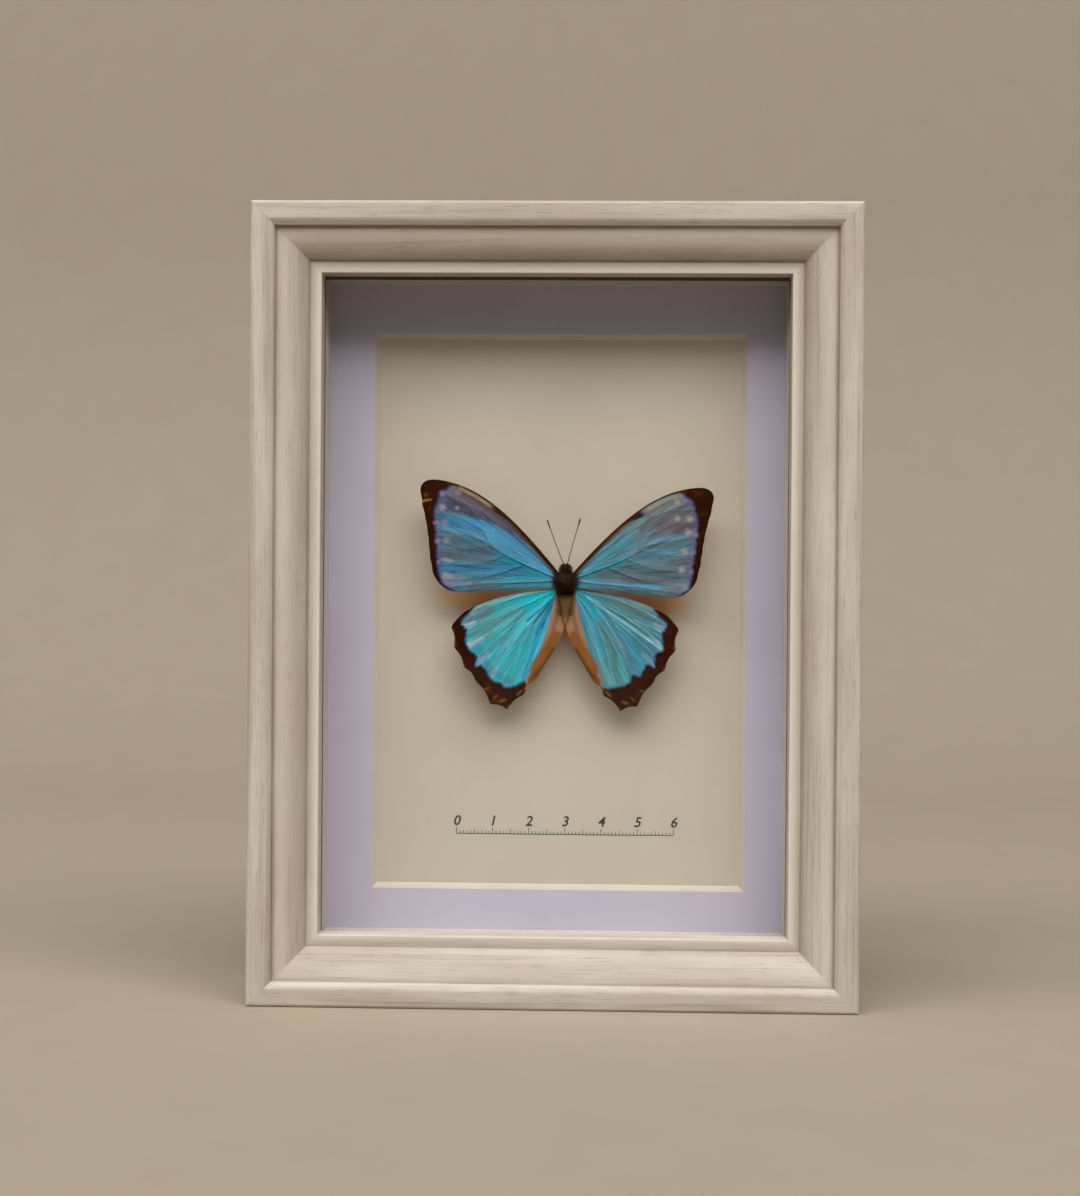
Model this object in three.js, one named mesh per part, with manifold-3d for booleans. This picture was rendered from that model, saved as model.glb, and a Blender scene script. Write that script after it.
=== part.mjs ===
// A butterfly specimen in a deep box frame.
//
// The frame has four mitred rails of moulded wood. Behind its lip lie a pane of glass, a fillet of four
// spacer strips, a mat with a bevelled window, the card, a foam board that takes the pin, and a backing
// board that steel tabs hold in. The butterfly is set with its wings spread, on a pin that goes through the
// card into the foam.
//
// Millimetres, +Z up. The frame stands on its bottom rail and its front faces -Y. The origin is the middle of
// its underside. A depth is counted from the frame's front-most face towards the back.

import * as THREE from "three";
import { mergeVertices } from "three/addons/utils/BufferGeometryUtils.js";
import Module from "manifold-3d";

const wasm = await Module();
wasm.setup();

// The frame
const FRAME_WIDTH = 162;
const FRAME_HEIGHT = 213.6;
const FRAME_DEPTH = 36;
const MITRE_GAP = 0.1;

// The rail's section: width inward from the outer edge, and depth from the front
const RAIL_WIDTH = 18.3;
const ARRIS_RADIUS = 1;
const BAND_END = 4.4;
const ROUND_RADIUS = 2.1;
const OVOLO_START = 6.8;
const OVOLO_RADIUS = 12.2;
const OVOLO_FIRST_SLOPE = THREE.MathUtils.degToRad(4);
const OVOLO_LAST_SLOPE = THREE.MathUtils.degToRad(48);
const LIP_FRONT = 6.2;
const LIP_BACK = 12;
const LIP_OVERLAP = 2.7;
const LIP_ARRIS = 0.4;

// What lies in the rebate, from the glass to the backing board
const STACK_WIDTH = 129.6;
const STACK_HEIGHT = 181.2;
const GLASS_THICKNESS = 2;
const GLASS_CLEARANCE = 0.1;
const SPACER_DEPTH = 9.9;
const SPACER_THICKNESS = 2.1;
const BOTTOM_SPACER_THICKNESS = 1.5;
const MAT_THICKNESS = 1.4;
const CARD_THICKNESS = 0.5;
const FOAM_THICKNESS = 5;
const BACKING_THICKNESS = 2.5;

// The mat's window, at the back of its bevel, and how far its middle is from the frame's
const WINDOW_WIDTH = 99.7;
const WINDOW_HEIGHT = 150.3;
const WINDOW_RIGHT = 1;
const WINDOW_UP = -1.9;

// The steel tabs that hold the backing board
const TAB_LENGTH = 15;
const TAB_WIDTH = 6;
const TAB_THICKNESS = 0.6;
const TAB_IN_WOOD = 5;
const TAB_CLEARANCE = 0.3;
const TAB_SPREAD = 0.3;

// The sawtooth hanger
const HANGER_WIDTH = 42;
const HANGER_HEIGHT = 9;
const HANGER_SHEET = 0.7;
const HANGER_STANDOFF = 0.9;
const HANGER_FOOT = 6;
const HANGER_TEETH = 11;
const TOOTH_HEIGHT = 1.6;
const HANGER_FROM_TOP = 34;
const RIVET_RADIUS = 0.9;
const RIVET_HEAD_RADIUS = 2;
const RIVET_HEAD_HEIGHT = 0.7;
const RIVET_CLEARANCE = 0.3;

// The butterfly: where the middle of its thorax is, from the frame's middle
const THORAX_RIGHT = 2.8;
const THORAX_UP = 6.5;
const THORAX_DEPTH = 20.2;
const BODY_FLATNESS = 0.94;
const BODY_SIDES = 18;
const EYE_RADIUS = 0.8;
const EYE_ACROSS = 0.98;

// Its wings. Each outline runs outwards along u and upwards along v, from the middle of the thorax
const WING_THICKNESS = 0.4;
const WING_RINGS = 4;
const LONG_CURVE_STEPS = 8;
const SHORT_CURVE_STEPS = 3;
const FOREWING_DEPTH = 19.2;
const HINDWING_DEPTH = 19.85;
const WING_LIFT = 0.035;
const WING_CROWN = 0.02;
const GUTTER_DEPTH = 1.5;
const GUTTER_WIDTH = 5;
const RIGHT_FOREWING_DROP = THREE.MathUtils.degToRad(2.3);
const RIGHT_FOREWING_SPREAD = 0.985;
const RIGHT_HINDWING_DROP = THREE.MathUtils.degToRad(0.8);

// Its antennae, legs and pin
const ANTENNA_RADIUS = 0.17;
const CLUB_RADIUS = 0.26;
const LEG_RADIUS = 0.2;
const PIN_RADIUS = 0.25;
const PIN_CLEARANCE = 0.3;
const PIN_IN_THORAX = 1.6;
const PIN_IN_FOAM = 4;

const GLASS_FRONT = LIP_BACK;
const SPACER_FRONT = GLASS_FRONT + GLASS_THICKNESS + GLASS_CLEARANCE;
const MAT_FRONT = SPACER_FRONT + SPACER_DEPTH;
const CARD_FRONT = MAT_FRONT + MAT_THICKNESS;
const FOAM_FRONT = CARD_FRONT + CARD_THICKNESS;
const BACKING_FRONT = FOAM_FRONT + FOAM_THICKNESS;
const BACKING_BACK = BACKING_FRONT + BACKING_THICKNESS;
const STACK_BOTTOM = RAIL_WIDTH - LIP_OVERLAP;
const STACK_MIDDLE = STACK_BOTTOM + STACK_HEIGHT / 2;
const FRAME_MIDDLE = FRAME_HEIGHT / 2;

const FINISH = {
  wood: { color: 0xc9bda9, roughness: 0.6, metalness: 0 },
  glass: { color: 0xf4f8f6, roughness: 0.02, metalness: 0 },
  fillet: { color: 0xaaa4a4, roughness: 0.75, metalness: 0 },
  mat: { color: 0xc6c1cf, roughness: 0.85, metalness: 0 },
  card: { color: 0xc9bda3, roughness: 0.8, metalness: 0 },
  foam: { color: 0xe6e4dd, roughness: 0.9, metalness: 0 },
  hardboard: { color: 0x7d5b3c, roughness: 0.85, metalness: 0 },
  steel: { color: 0xa9a9a6, roughness: 0.35, metalness: 1 },
  forewing: { color: 0x4d84ab, roughness: 0.4, metalness: 0 },
  hindwing: { color: 0x3fa3b5, roughness: 0.4, metalness: 0 },
  body: { color: 0x2c1c12, roughness: 0.9, metalness: 0 },
  antenna: { color: 0x2a2422, roughness: 0.5, metalness: 0 },
};

/** The y of a depth counted from the frame's front-most face. */
function yAt(depth) {
  return depth - FRAME_DEPTH / 2;
}

/** A named mesh in one of the finishes. */
function piece(name, geometry, finish) {
  const mesh = new THREE.Mesh(geometry, new THREE.MeshStandardMaterial(FINISH[finish]));
  mesh.name = name;
  return mesh;
}

/** A closed geometry as a solid that can be joined and cut. */
function toSolid(geometry) {
  const bare = geometry.clone();
  bare.deleteAttribute("normal");
  bare.deleteAttribute("uv");
  const merged = mergeVertices(bare, 1e-4);
  return new wasm.Manifold(
    new wasm.Mesh({
      numProp: 3,
      vertProperties: merged.attributes.position.array,
      triVerts: new Uint32Array(merged.index.array),
    }),
  );
}

/** A solid back as a geometry. */
function toGeometry(solid) {
  const mesh = solid.getMesh();
  const geometry = new THREE.BufferGeometry();
  geometry.setAttribute("position", new THREE.BufferAttribute(mesh.vertProperties, 3));
  geometry.setIndex(new THREE.BufferAttribute(mesh.triVerts, 1));
  geometry.computeVertexNormals();
  return geometry;
}

/** The geometry less every tool. */
function cut(geometry, tools) {
  const left = tools.reduce((solid, tool) => solid.subtract(toSolid(tool)), toSolid(geometry));
  return toGeometry(left);
}

/** All the geometries as one. */
function join(geometries) {
  const [first, ...others] = geometries.map(toSolid);
  return toGeometry(others.reduce((solid, other) => solid.add(other), first));
}

/** A box, given its middle in x and z, its front depth and its size. */
function board(x, z, front, width, height, thickness) {
  const geometry = new THREE.BoxGeometry(width, thickness, height);
  return geometry.translate(x, yAt(front + thickness / 2), z);
}

/** A round bar along y, between two depths. */
function bar(x, z, front, back, radius, sides) {
  const geometry = new THREE.CylinderGeometry(radius, radius, back - front, sides);
  return geometry.translate(x, yAt((front + back) / 2), z);
}

/** The rail's section: an arris, a flat band, a round, an ovolo, a flat lip and the rebate behind it. */
function railSection() {
  const roundEnd = BAND_END + ROUND_RADIUS;
  const ovoloAcross = OVOLO_START - OVOLO_RADIUS * Math.sin(OVOLO_FIRST_SLOPE);
  const ovoloDepth = ROUND_RADIUS + OVOLO_RADIUS * Math.cos(OVOLO_FIRST_SLOPE);
  const rebateWall = RAIL_WIDTH - LIP_OVERLAP;
  const section = new THREE.Shape();
  section.moveTo(0, FRAME_DEPTH);
  section.lineTo(0, ARRIS_RADIUS);
  section.absarc(ARRIS_RADIUS, ARRIS_RADIUS, ARRIS_RADIUS, Math.PI, 1.5 * Math.PI, false);
  section.lineTo(BAND_END, 0);
  section.absarc(BAND_END, ROUND_RADIUS, ROUND_RADIUS, 1.5 * Math.PI, 2 * Math.PI, false);
  section.lineTo(roundEnd, ROUND_RADIUS);
  section.absarc(
    ovoloAcross,
    ovoloDepth,
    OVOLO_RADIUS,
    1.5 * Math.PI + OVOLO_FIRST_SLOPE,
    1.5 * Math.PI + OVOLO_LAST_SLOPE,
    false,
  );
  section.lineTo(ovoloAcross + OVOLO_RADIUS * Math.sin(OVOLO_LAST_SLOPE) + LIP_ARRIS, LIP_FRONT);
  section.lineTo(RAIL_WIDTH - LIP_ARRIS, LIP_FRONT);
  section.lineTo(RAIL_WIDTH, LIP_FRONT + LIP_ARRIS);
  section.lineTo(RAIL_WIDTH, LIP_BACK);
  section.lineTo(rebateWall, LIP_BACK);
  section.lineTo(rebateWall, FRAME_DEPTH);
  return section;
}

/** A rail that runs along x on z = 0, with both ends mitred and a slot for each of its two tabs. */
function railGeometry(length) {
  const run = { depth: 1, bevelEnabled: false, curveSegments: 9 };
  const geometry = new THREE.ExtrudeGeometry(railSection(), run);
  const place = geometry.attributes.position;
  const mitreBack = MITRE_GAP * Math.SQRT1_2;
  for (let i = 0; i < place.count; i += 1) {
    const inward = place.getX(i);
    const side = 1 - 2 * place.getZ(i);
    place.setXYZ(i, side * (length / 2 - inward - mitreBack), yAt(place.getY(i)), inward);
  }
  const slots = [-1, 1].map((side) =>
    board(
      side * length * TAB_SPREAD,
      STACK_BOTTOM - TAB_IN_WOOD / 2,
      BACKING_BACK - TAB_CLEARANCE,
      TAB_WIDTH + 2 * TAB_CLEARANCE,
      TAB_IN_WOOD + 2 * TAB_CLEARANCE,
      TAB_THICKNESS + 2 * TAB_CLEARANCE,
    ),
  );
  return cut(geometry, slots);
}

/** A steel tab with a rounded free end, half driven into the wood and half over the backing board. */
function tabGeometry(x) {
  const half = TAB_WIDTH / 2;
  const outline = new THREE.Shape();
  outline.moveTo(-half, 0);
  outline.lineTo(half, 0);
  outline.lineTo(half, TAB_LENGTH - half);
  outline.absarc(0, TAB_LENGTH - half, half, 0, Math.PI, false);
  const sheet = { depth: TAB_THICKNESS, bevelEnabled: false, curveSegments: 6 };
  const geometry = new THREE.ExtrudeGeometry(outline, sheet);
  geometry.rotateX(Math.PI / 2);
  return geometry.translate(x, yAt(BACKING_BACK) + TAB_THICKNESS, STACK_BOTTOM - TAB_IN_WOOD);
}

/** The four rails with their tabs, each rail turned a quarter from the one before it. */
function frameGroup() {
  const group = new THREE.Group();
  group.position.z = FRAME_MIDDLE;
  ["bottom", "left", "top", "right"].forEach((name, quarter) => {
    const upright = quarter % 2 === 1;
    const length = upright ? FRAME_HEIGHT : FRAME_WIDTH;
    const across = upright ? FRAME_WIDTH : FRAME_HEIGHT;
    const side = new THREE.Group();
    side.rotation.y = (quarter * Math.PI) / 2;
    const parts = [piece(`rail_${name}`, railGeometry(length), "wood")];
    [-1, 1].forEach((end, i) => {
      parts.push(piece(`tab_${name}_${i + 1}`, tabGeometry(end * length * TAB_SPREAD), "steel"));
    });
    parts.forEach((part) => {
      part.position.z = -across / 2;
      side.add(part);
    });
    group.add(side);
  });
  return group;
}

/** A sheet that fills the stack's outline. */
function stackBoard(front, thickness) {
  return board(0, STACK_MIDDLE, front, STACK_WIDTH, STACK_HEIGHT, thickness);
}

/** The four strips between the glass and the mat: two the full width, and two upright between them. */
function spacers() {
  const sideHeight = STACK_HEIGHT - SPACER_THICKNESS - BOTTOM_SPACER_THICKNESS;
  const sideBottom = STACK_BOTTOM + BOTTOM_SPACER_THICKNESS;
  const sideMiddle = sideBottom + sideHeight / 2;
  const across = (STACK_WIDTH - SPACER_THICKNESS) / 2;
  const top = STACK_BOTTOM + STACK_HEIGHT - SPACER_THICKNESS / 2;
  const bottom = STACK_BOTTOM + BOTTOM_SPACER_THICKNESS / 2;
  const flat = (z, thickness) => board(0, z, SPACER_FRONT, STACK_WIDTH, thickness, SPACER_DEPTH);
  const upright = (x) => board(x, sideMiddle, SPACER_FRONT, SPACER_THICKNESS, sideHeight, SPACER_DEPTH);
  return [
    piece("spacer_top", flat(top, SPACER_THICKNESS), "fillet"),
    piece("spacer_bottom", flat(bottom, BOTTOM_SPACER_THICKNESS), "fillet"),
    piece("spacer_left", upright(-across), "fillet"),
    piece("spacer_right", upright(across), "fillet"),
  ];
}

/** The mat: a board whose window has edges cut at 45 degrees, widest at the front. */
function matGeometry() {
  const over = 1;
  const tool = new THREE.BoxGeometry(1, MAT_THICKNESS + 2 * over, 1);
  const place = tool.attributes.position;
  for (let i = 0; i < place.count; i += 1) {
    const fromBack = place.getY(i) > 0 ? -over : MAT_THICKNESS + over;
    place.setX(i, Math.sign(place.getX(i)) * (WINDOW_WIDTH / 2 + fromBack));
    place.setZ(i, Math.sign(place.getZ(i)) * (WINDOW_HEIGHT / 2 + fromBack));
  }
  tool.translate(WINDOW_RIGHT, yAt(MAT_FRONT + MAT_THICKNESS / 2), FRAME_MIDDLE + WINDOW_UP);
  return cut(stackBoard(MAT_FRONT, MAT_THICKNESS), [tool]);
}

/** The round hole that the pin goes through, a little wider than the pin. */
function pinHole() {
  const front = THORAX_DEPTH - PIN_IN_THORAX - PIN_CLEARANCE;
  const back = FOAM_FRONT + PIN_IN_FOAM + PIN_CLEARANCE;
  return bar(THORAX_RIGHT, FRAME_MIDDLE + THORAX_UP, front, back, PIN_RADIUS + PIN_CLEARANCE, 12);
}

/** Where the hanger's two rivets are. */
function rivetPlaces() {
  const across = HANGER_WIDTH / 2 - HANGER_FOOT / 2;
  return [-across, across];
}

/** The holes that the rivets go through, from the backing board's front to behind the hanger. */
function rivetHoles() {
  const z = FRAME_HEIGHT - HANGER_FROM_TOP;
  const radius = RIVET_RADIUS + RIVET_CLEARANCE;
  return rivetPlaces().map((x) => bar(x, z, BACKING_FRONT - 1, FRAME_DEPTH + 1, radius, 16));
}

/** The hanger: a sheet on two feet, with teeth along the lower edge between them. */
function hangerGeometry() {
  const half = HANGER_WIDTH / 2;
  const inner = half - HANGER_FOOT;
  const low = -HANGER_HEIGHT / 2;
  const step = (2 * inner) / HANGER_TEETH;
  const corner = 1.5;
  const outline = new THREE.Shape();
  outline.moveTo(-half, low + corner);
  outline.absarc(-half + corner, low + corner, corner, Math.PI, 1.5 * Math.PI, false);
  outline.lineTo(-inner, low);
  for (let i = 0; i < HANGER_TEETH; i += 1) {
    outline.lineTo(-inner + (i + 0.5) * step, low + TOOTH_HEIGHT);
    outline.lineTo(-inner + (i + 1) * step, low);
  }
  outline.absarc(half - corner, low + corner, corner, 1.5 * Math.PI, 2 * Math.PI, false);
  outline.absarc(half - corner, -low - corner, corner, 0, 0.5 * Math.PI, false);
  outline.absarc(-half + corner, -low - corner, corner, 0.5 * Math.PI, Math.PI, false);
  const z = FRAME_HEIGHT - HANGER_FROM_TOP;
  const thickness = { depth: HANGER_SHEET, bevelEnabled: false, curveSegments: 4 };
  const sheet = new THREE.ExtrudeGeometry(outline, thickness);
  sheet.rotateX(Math.PI / 2);
  sheet.translate(0, yAt(BACKING_BACK) + HANGER_STANDOFF + HANGER_SHEET, z);
  const footHeight = HANGER_HEIGHT - 2 * corner;
  const footDepth = HANGER_STANDOFF + HANGER_SHEET / 2;
  const feet = rivetPlaces().map((x) => board(x, z, BACKING_BACK, HANGER_FOOT - 1, footHeight, footDepth));
  return cut(join([sheet, ...feet]), rivetHoles());
}

/** A rivet with a shank from the backing board's front and a domed head behind the hanger. */
function rivetGeometry(x) {
  const shank = BACKING_THICKNESS + HANGER_STANDOFF + HANGER_SHEET;
  const dome = new THREE.Path();
  dome.moveTo(0, 0);
  dome.lineTo(RIVET_RADIUS, 0);
  dome.lineTo(RIVET_RADIUS, shank);
  dome.lineTo(RIVET_HEAD_RADIUS, shank);
  dome.quadraticCurveTo(RIVET_HEAD_RADIUS, shank + RIVET_HEAD_HEIGHT, 0, shank + RIVET_HEAD_HEIGHT);
  const geometry = new THREE.LatheGeometry(dome.getPoints(5), 16);
  return geometry.translate(x, yAt(BACKING_FRONT), FRAME_HEIGHT - HANGER_FROM_TOP);
}

/** Glass, spacers, mat, card, foam and backing board, with the hanger and its rivets. */
function rebateParts() {
  return [
    piece("glass", stackBoard(GLASS_FRONT, GLASS_THICKNESS), "glass"),
    ...spacers(),
    piece("mat", matGeometry(), "mat"),
    piece("card", cut(stackBoard(CARD_FRONT, CARD_THICKNESS), [pinHole()]), "card"),
    piece("foam_board", cut(stackBoard(FOAM_FRONT, FOAM_THICKNESS), [pinHole()]), "foam"),
    piece("backing_board", cut(stackBoard(BACKING_FRONT, BACKING_THICKNESS), rivetHoles()), "hardboard"),
    piece("hanger", hangerGeometry(), "steel"),
    ...rivetPlaces().map((x, i) => piece(`rivet_${i + 1}`, rivetGeometry(x), "steel")),
  ];
}

/** Adds a scalloped edge to a path: through each tooth, with the edge between two teeth pulled in by sag. */
function scallop(path, teeth, sag) {
  const from = path.currentPoint.clone();
  teeth.forEach(([u, v]) => {
    const to = new THREE.Vector2(u, v);
    const along = to.clone().sub(from).normalize();
    const middle = from.clone().add(to).multiplyScalar(0.5);
    path.quadraticCurveTo(middle.x + 2 * sag * along.y, middle.y - 2 * sag * along.x, u, v);
    from.copy(to);
  });
}

/** The forewing's edge, from the front of its root round to the back of it. */
function forewingEdge() {
  const edge = new THREE.Path();
  edge.moveTo(2.9, 3.5);
  edge.bezierCurveTo(14.5, 18.2, 24, 27.2, 35.5, 27.7);
  edge.bezierCurveTo(38.2, 27.8, 39.8, 26.9, 39.9, 24.6);
  scallop(edge, [[39.3, 20.6], [38.4, 16.8], [37.8, 13.2], [37.4, 9.6], [37.1, 6.2], [36.4, 2.8]], 0.18);
  edge.bezierCurveTo(36, 0.6, 33.6, -2.6, 30.5, -3);
  edge.bezierCurveTo(25.5, -3.6, 16, -1.9, 2.9, -1.6);
  return edge;
}

/** The hindwing's edge, from the front of its root, round the toothed margin, to the back of it. */
function hindwingEdge() {
  const edge = new THREE.Path();
  edge.moveTo(2.9, -1.7);
  edge.bezierCurveTo(12, -2, 21, -5, 27.3, -8.2);
  edge.quadraticCurveTo(29, -9.6, 31.4, -12.6);
  const outerTeeth = [[30.6, -18.2], [27.7, -23.8], [24.6, -27.3], [20.4, -33.9]];
  const innerTeeth = [[15.6, -35.4], [11, -31], [8.2, -27.4]];
  scallop(edge, [...outerTeeth, ...innerTeeth], 0.8);
  edge.bezierCurveTo(5.6, -22.4, 1.2, -17, 0.4, -10.6);
  edge.lineTo(1.75, -3.9);
  return edge;
}

/** A forewing's depth: lifted towards its tip, and in front of that by its crown. */
function forewingDepth(u, crown) {
  return FOREWING_DEPTH - WING_LIFT * u - crown;
}

/** A hindwing's depth: the same, with half the crown, and turned down in a gutter beside the abdomen. */
function hindwingDepth(u, crown) {
  const gutter = GUTTER_DEPTH * Math.max(1 - u / GUTTER_WIDTH, 0) ** 2;
  return HINDWING_DEPTH - WING_LIFT * u - crown / 2 + gutter;
}

/** Points round an edge, closer together on its long cubic curves than between its teeth. */
function rimPoints(edge) {
  const spans = edge.curves.map((curve) => {
    const steps = curve.isCubicBezierCurve ? LONG_CURVE_STEPS : SHORT_CURVE_STEPS;
    return curve.getPoints(steps).slice(1);
  });
  return [edge.curves[0].getPoint(0), ...spans.flat()];
}

/**
 * A wing as a thin curved slab. A ray goes to each point of its edge from its own point on the root line,
 * which joins the edge's two ends. The rays are divided evenly and bowed forward by a share of their length,
 * and the grid that this makes is closed with the same grid one thickness behind it. The first and last rays
 * have no length, and the faces there that have no area are left out.
 */
function wingGeometry(edge, depthAt) {
  const rim = rimPoints(edge);
  const rays = rim.length;
  const perRay = WING_RINGS + 1;
  const places = [];
  [0, WING_THICKNESS].forEach((behind) => {
    rim.forEach((tip, ray) => {
      const root = rim[0].clone().lerp(rim[rays - 1], ray / (rays - 1));
      const bow = WING_CROWN * root.distanceTo(tip);
      for (let ring = 0; ring <= WING_RINGS; ring += 1) {
        const along = ring / WING_RINGS;
        const at = root.clone().lerp(tip, along);
        places.push(at.x, yAt(depthAt(at.x, bow * Math.sin(Math.PI * along)) + behind), at.y);
      }
    });
  });
  const back = rays * perRay;
  const faces = [];
  const quad = (a, b, c, d) => faces.push(a, b, c, a, c, d);
  for (let at = 0; at < back - perRay; at += perRay) {
    const next = at + perRay;
    for (let ring = 0; ring < WING_RINGS; ring += 1) {
      quad(at + ring, next + ring, next + ring + 1, at + ring + 1);
      quad(back + at + ring, back + at + ring + 1, back + next + ring + 1, back + next + ring);
    }
    quad(at, back + at, back + next, next);
    quad(at + WING_RINGS, next + WING_RINGS, back + next + WING_RINGS, back + at + WING_RINGS);
  }
  const geometry = new THREE.BufferGeometry();
  geometry.setAttribute("position", new THREE.Float32BufferAttribute(places, 3));
  geometry.setIndex(faces);
  return withoutFlatFaces(mergeVertices(geometry, 1e-4));
}

/** The geometry less each face that has the same corner twice. */
function withoutFlatFaces(geometry) {
  const kept = [];
  for (let i = 0; i < geometry.index.count; i += 3) {
    const corners = [0, 1, 2].map((corner) => geometry.index.getX(i + corner));
    if (new Set(corners).size === 3) {
      kept.push(...corners);
    }
  }
  geometry.setIndex(kept);
  geometry.computeVertexNormals();
  return geometry;
}

/** The wing on the other side: mirrored across the body, scaled by its spread, and turned down. */
function otherSide(geometry, drop, spread) {
  const mirrored = geometry.clone().scale(-spread, 1, spread);
  const order = mirrored.index;
  for (let i = 0; i < order.count; i += 3) {
    const second = order.getX(i + 1);
    order.setX(i + 1, order.getX(i + 2));
    order.setX(i + 2, second);
  }
  return mirrored.rotateY(drop);
}

/** Half of the body's outline, from the top of the head to the tip, as [radius, height] pairs. */
function bodyOutline() {
  const outline = new THREE.Path();
  outline.moveTo(0, 4.85);
  outline.bezierCurveTo(1, 4.85, 1.5, 4.2, 1.5, 3.5);
  outline.bezierCurveTo(1.5, 2.9, 1.2, 2.6, 1.25, 2.3);
  outline.bezierCurveTo(2.1, 2.2, 2.55, 1, 2.55, 0);
  outline.bezierCurveTo(2.55, -1.6, 1.9, -2.9, 1.35, -3.5);
  outline.bezierCurveTo(1.3, -4.6, 1.15, -5.6, 0.9, -6.8);
  outline.bezierCurveTo(0.65, -8.6, 0.45, -11.2, 0, -11.4);
  return outline.getPoints(4);
}

/** A thin leg from the thorax's underside, bent at the knee and drawn up under the body. */
function legGeometry(side, hip, knee, foot) {
  const at = ([across, up, behind]) => new THREE.Vector3(side * across, behind, up);
  const way = new THREE.CatmullRomCurve3([at(hip), at(knee), at(foot)]);
  return tubeGeometry(way, LEG_RADIUS, 6, 6);
}

/** A closed tube of an even radius along a way. */
function tubeGeometry(way, radius, sides, steps) {
  const ring = new THREE.Shape();
  ring.absarc(0, 0, radius, 0, 2 * Math.PI, false);
  return new THREE.ExtrudeGeometry(ring, {
    extrudePath: way,
    steps,
    curveSegments: sides,
    bevelEnabled: false,
  });
}

/** Head with its eyes, thorax, abdomen and four folded legs, with the hole for the pin. */
function bodyGeometry() {
  const trunk = new THREE.LatheGeometry(bodyOutline().reverse(), BODY_SIDES);
  trunk.rotateX(Math.PI / 2).scale(1, BODY_FLATNESS, 1);
  const eye = new THREE.SphereGeometry(EYE_RADIUS, 10, 8);
  const eyes = [-1, 1].map((side) => eye.clone().translate(side * EYE_ACROSS, -0.35, 3.75));
  const legs = [-1, 1].flatMap((side) => [
    legGeometry(side, [1, 1, 1.6], [2.6, 2.2, 3.3], [1, 4.4, 4]),
    legGeometry(side, [1, -0.8, 1.6], [2.8, -1.2, 3.3], [1.3, -4, 4]),
  ]);
  const hole = pinHole().translate(-THORAX_RIGHT, -yAt(THORAX_DEPTH), -FRAME_MIDDLE - THORAX_UP);
  return cut(join([trunk, ...eyes, ...legs]), [hole]);
}

/** An antenna: a thin shaft that swells to a club at its tip. */
function antennaGeometry(root, bend, tip) {
  const way = new THREE.QuadraticBezierCurve3(root, bend, tip);
  const shaft = tubeGeometry(way, ANTENNA_RADIUS, 8, 10);
  const club = new THREE.CapsuleGeometry(CLUB_RADIUS, 1.6, 3, 8);
  const towards = way.getTangent(1);
  club.applyQuaternion(new THREE.Quaternion().setFromUnitVectors(new THREE.Vector3(0, 1, 0), towards));
  club.translate(tip.x - towards.x, tip.y - towards.y, tip.z - towards.z);
  return join([shaft, club]);
}

/** The whole butterfly, set on its pin. */
function butterflyGroup() {
  const group = new THREE.Group();
  group.position.set(THORAX_RIGHT, 0, FRAME_MIDDLE + THORAX_UP);
  const forewing = otherSide(wingGeometry(forewingEdge(), forewingDepth), 0, 1);
  const hindwing = otherSide(wingGeometry(hindwingEdge(), hindwingDepth), 0, 1);
  const body = piece("body", bodyGeometry(), "body");
  body.position.y = yAt(THORAX_DEPTH);
  const point = (across, up, depth) => new THREE.Vector3(across, yAt(depth), up);
  const leftWay = [point(-0.55, 4.9, 18.9), point(-2.9, 10.6, 17), point(-5.1, 16.8, 16.2)];
  const rightWay = [point(0.45, 4.9, 18.9), point(2, 10.6, 17), point(4, 17.2, 16.2)];
  const leftAntenna = antennaGeometry(...leftWay);
  const rightAntenna = antennaGeometry(...rightWay);
  const pinBack = FOAM_FRONT + PIN_IN_FOAM;
  const pin = bar(0, 0, THORAX_DEPTH - PIN_IN_THORAX, pinBack, PIN_RADIUS, 10);
  group.add(
    piece("forewing_left", forewing, "forewing"),
    piece("forewing_right", otherSide(forewing, RIGHT_FOREWING_DROP, RIGHT_FOREWING_SPREAD), "forewing"),
    piece("hindwing_left", hindwing, "hindwing"),
    piece("hindwing_right", otherSide(hindwing, RIGHT_HINDWING_DROP, 1), "hindwing"),
    body,
    piece("antenna_left", leftAntenna, "antenna"),
    piece("antenna_right", rightAntenna, "antenna"),
    piece("pin", pin, "steel"),
  );
  return group;
}

const specimen = new THREE.Group();
specimen.add(frameGroup(), ...rebateParts(), butterflyGroup());

export default specimen;
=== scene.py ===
"""Finishes the framed butterfly specimen: limed wood, glass, mat, card, hairs and the scales of the wings.

Shapes are worked out in millimetres in the part's own frame: +Z up, the front facing -Y, the origin in the
middle of the underside. A depth is counted from the frame's front-most face towards the back. Meshes are made
in metres.
"""

import logging
import math
from dataclasses import dataclass, field, replace
from enum import Enum
from typing import Union

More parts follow.
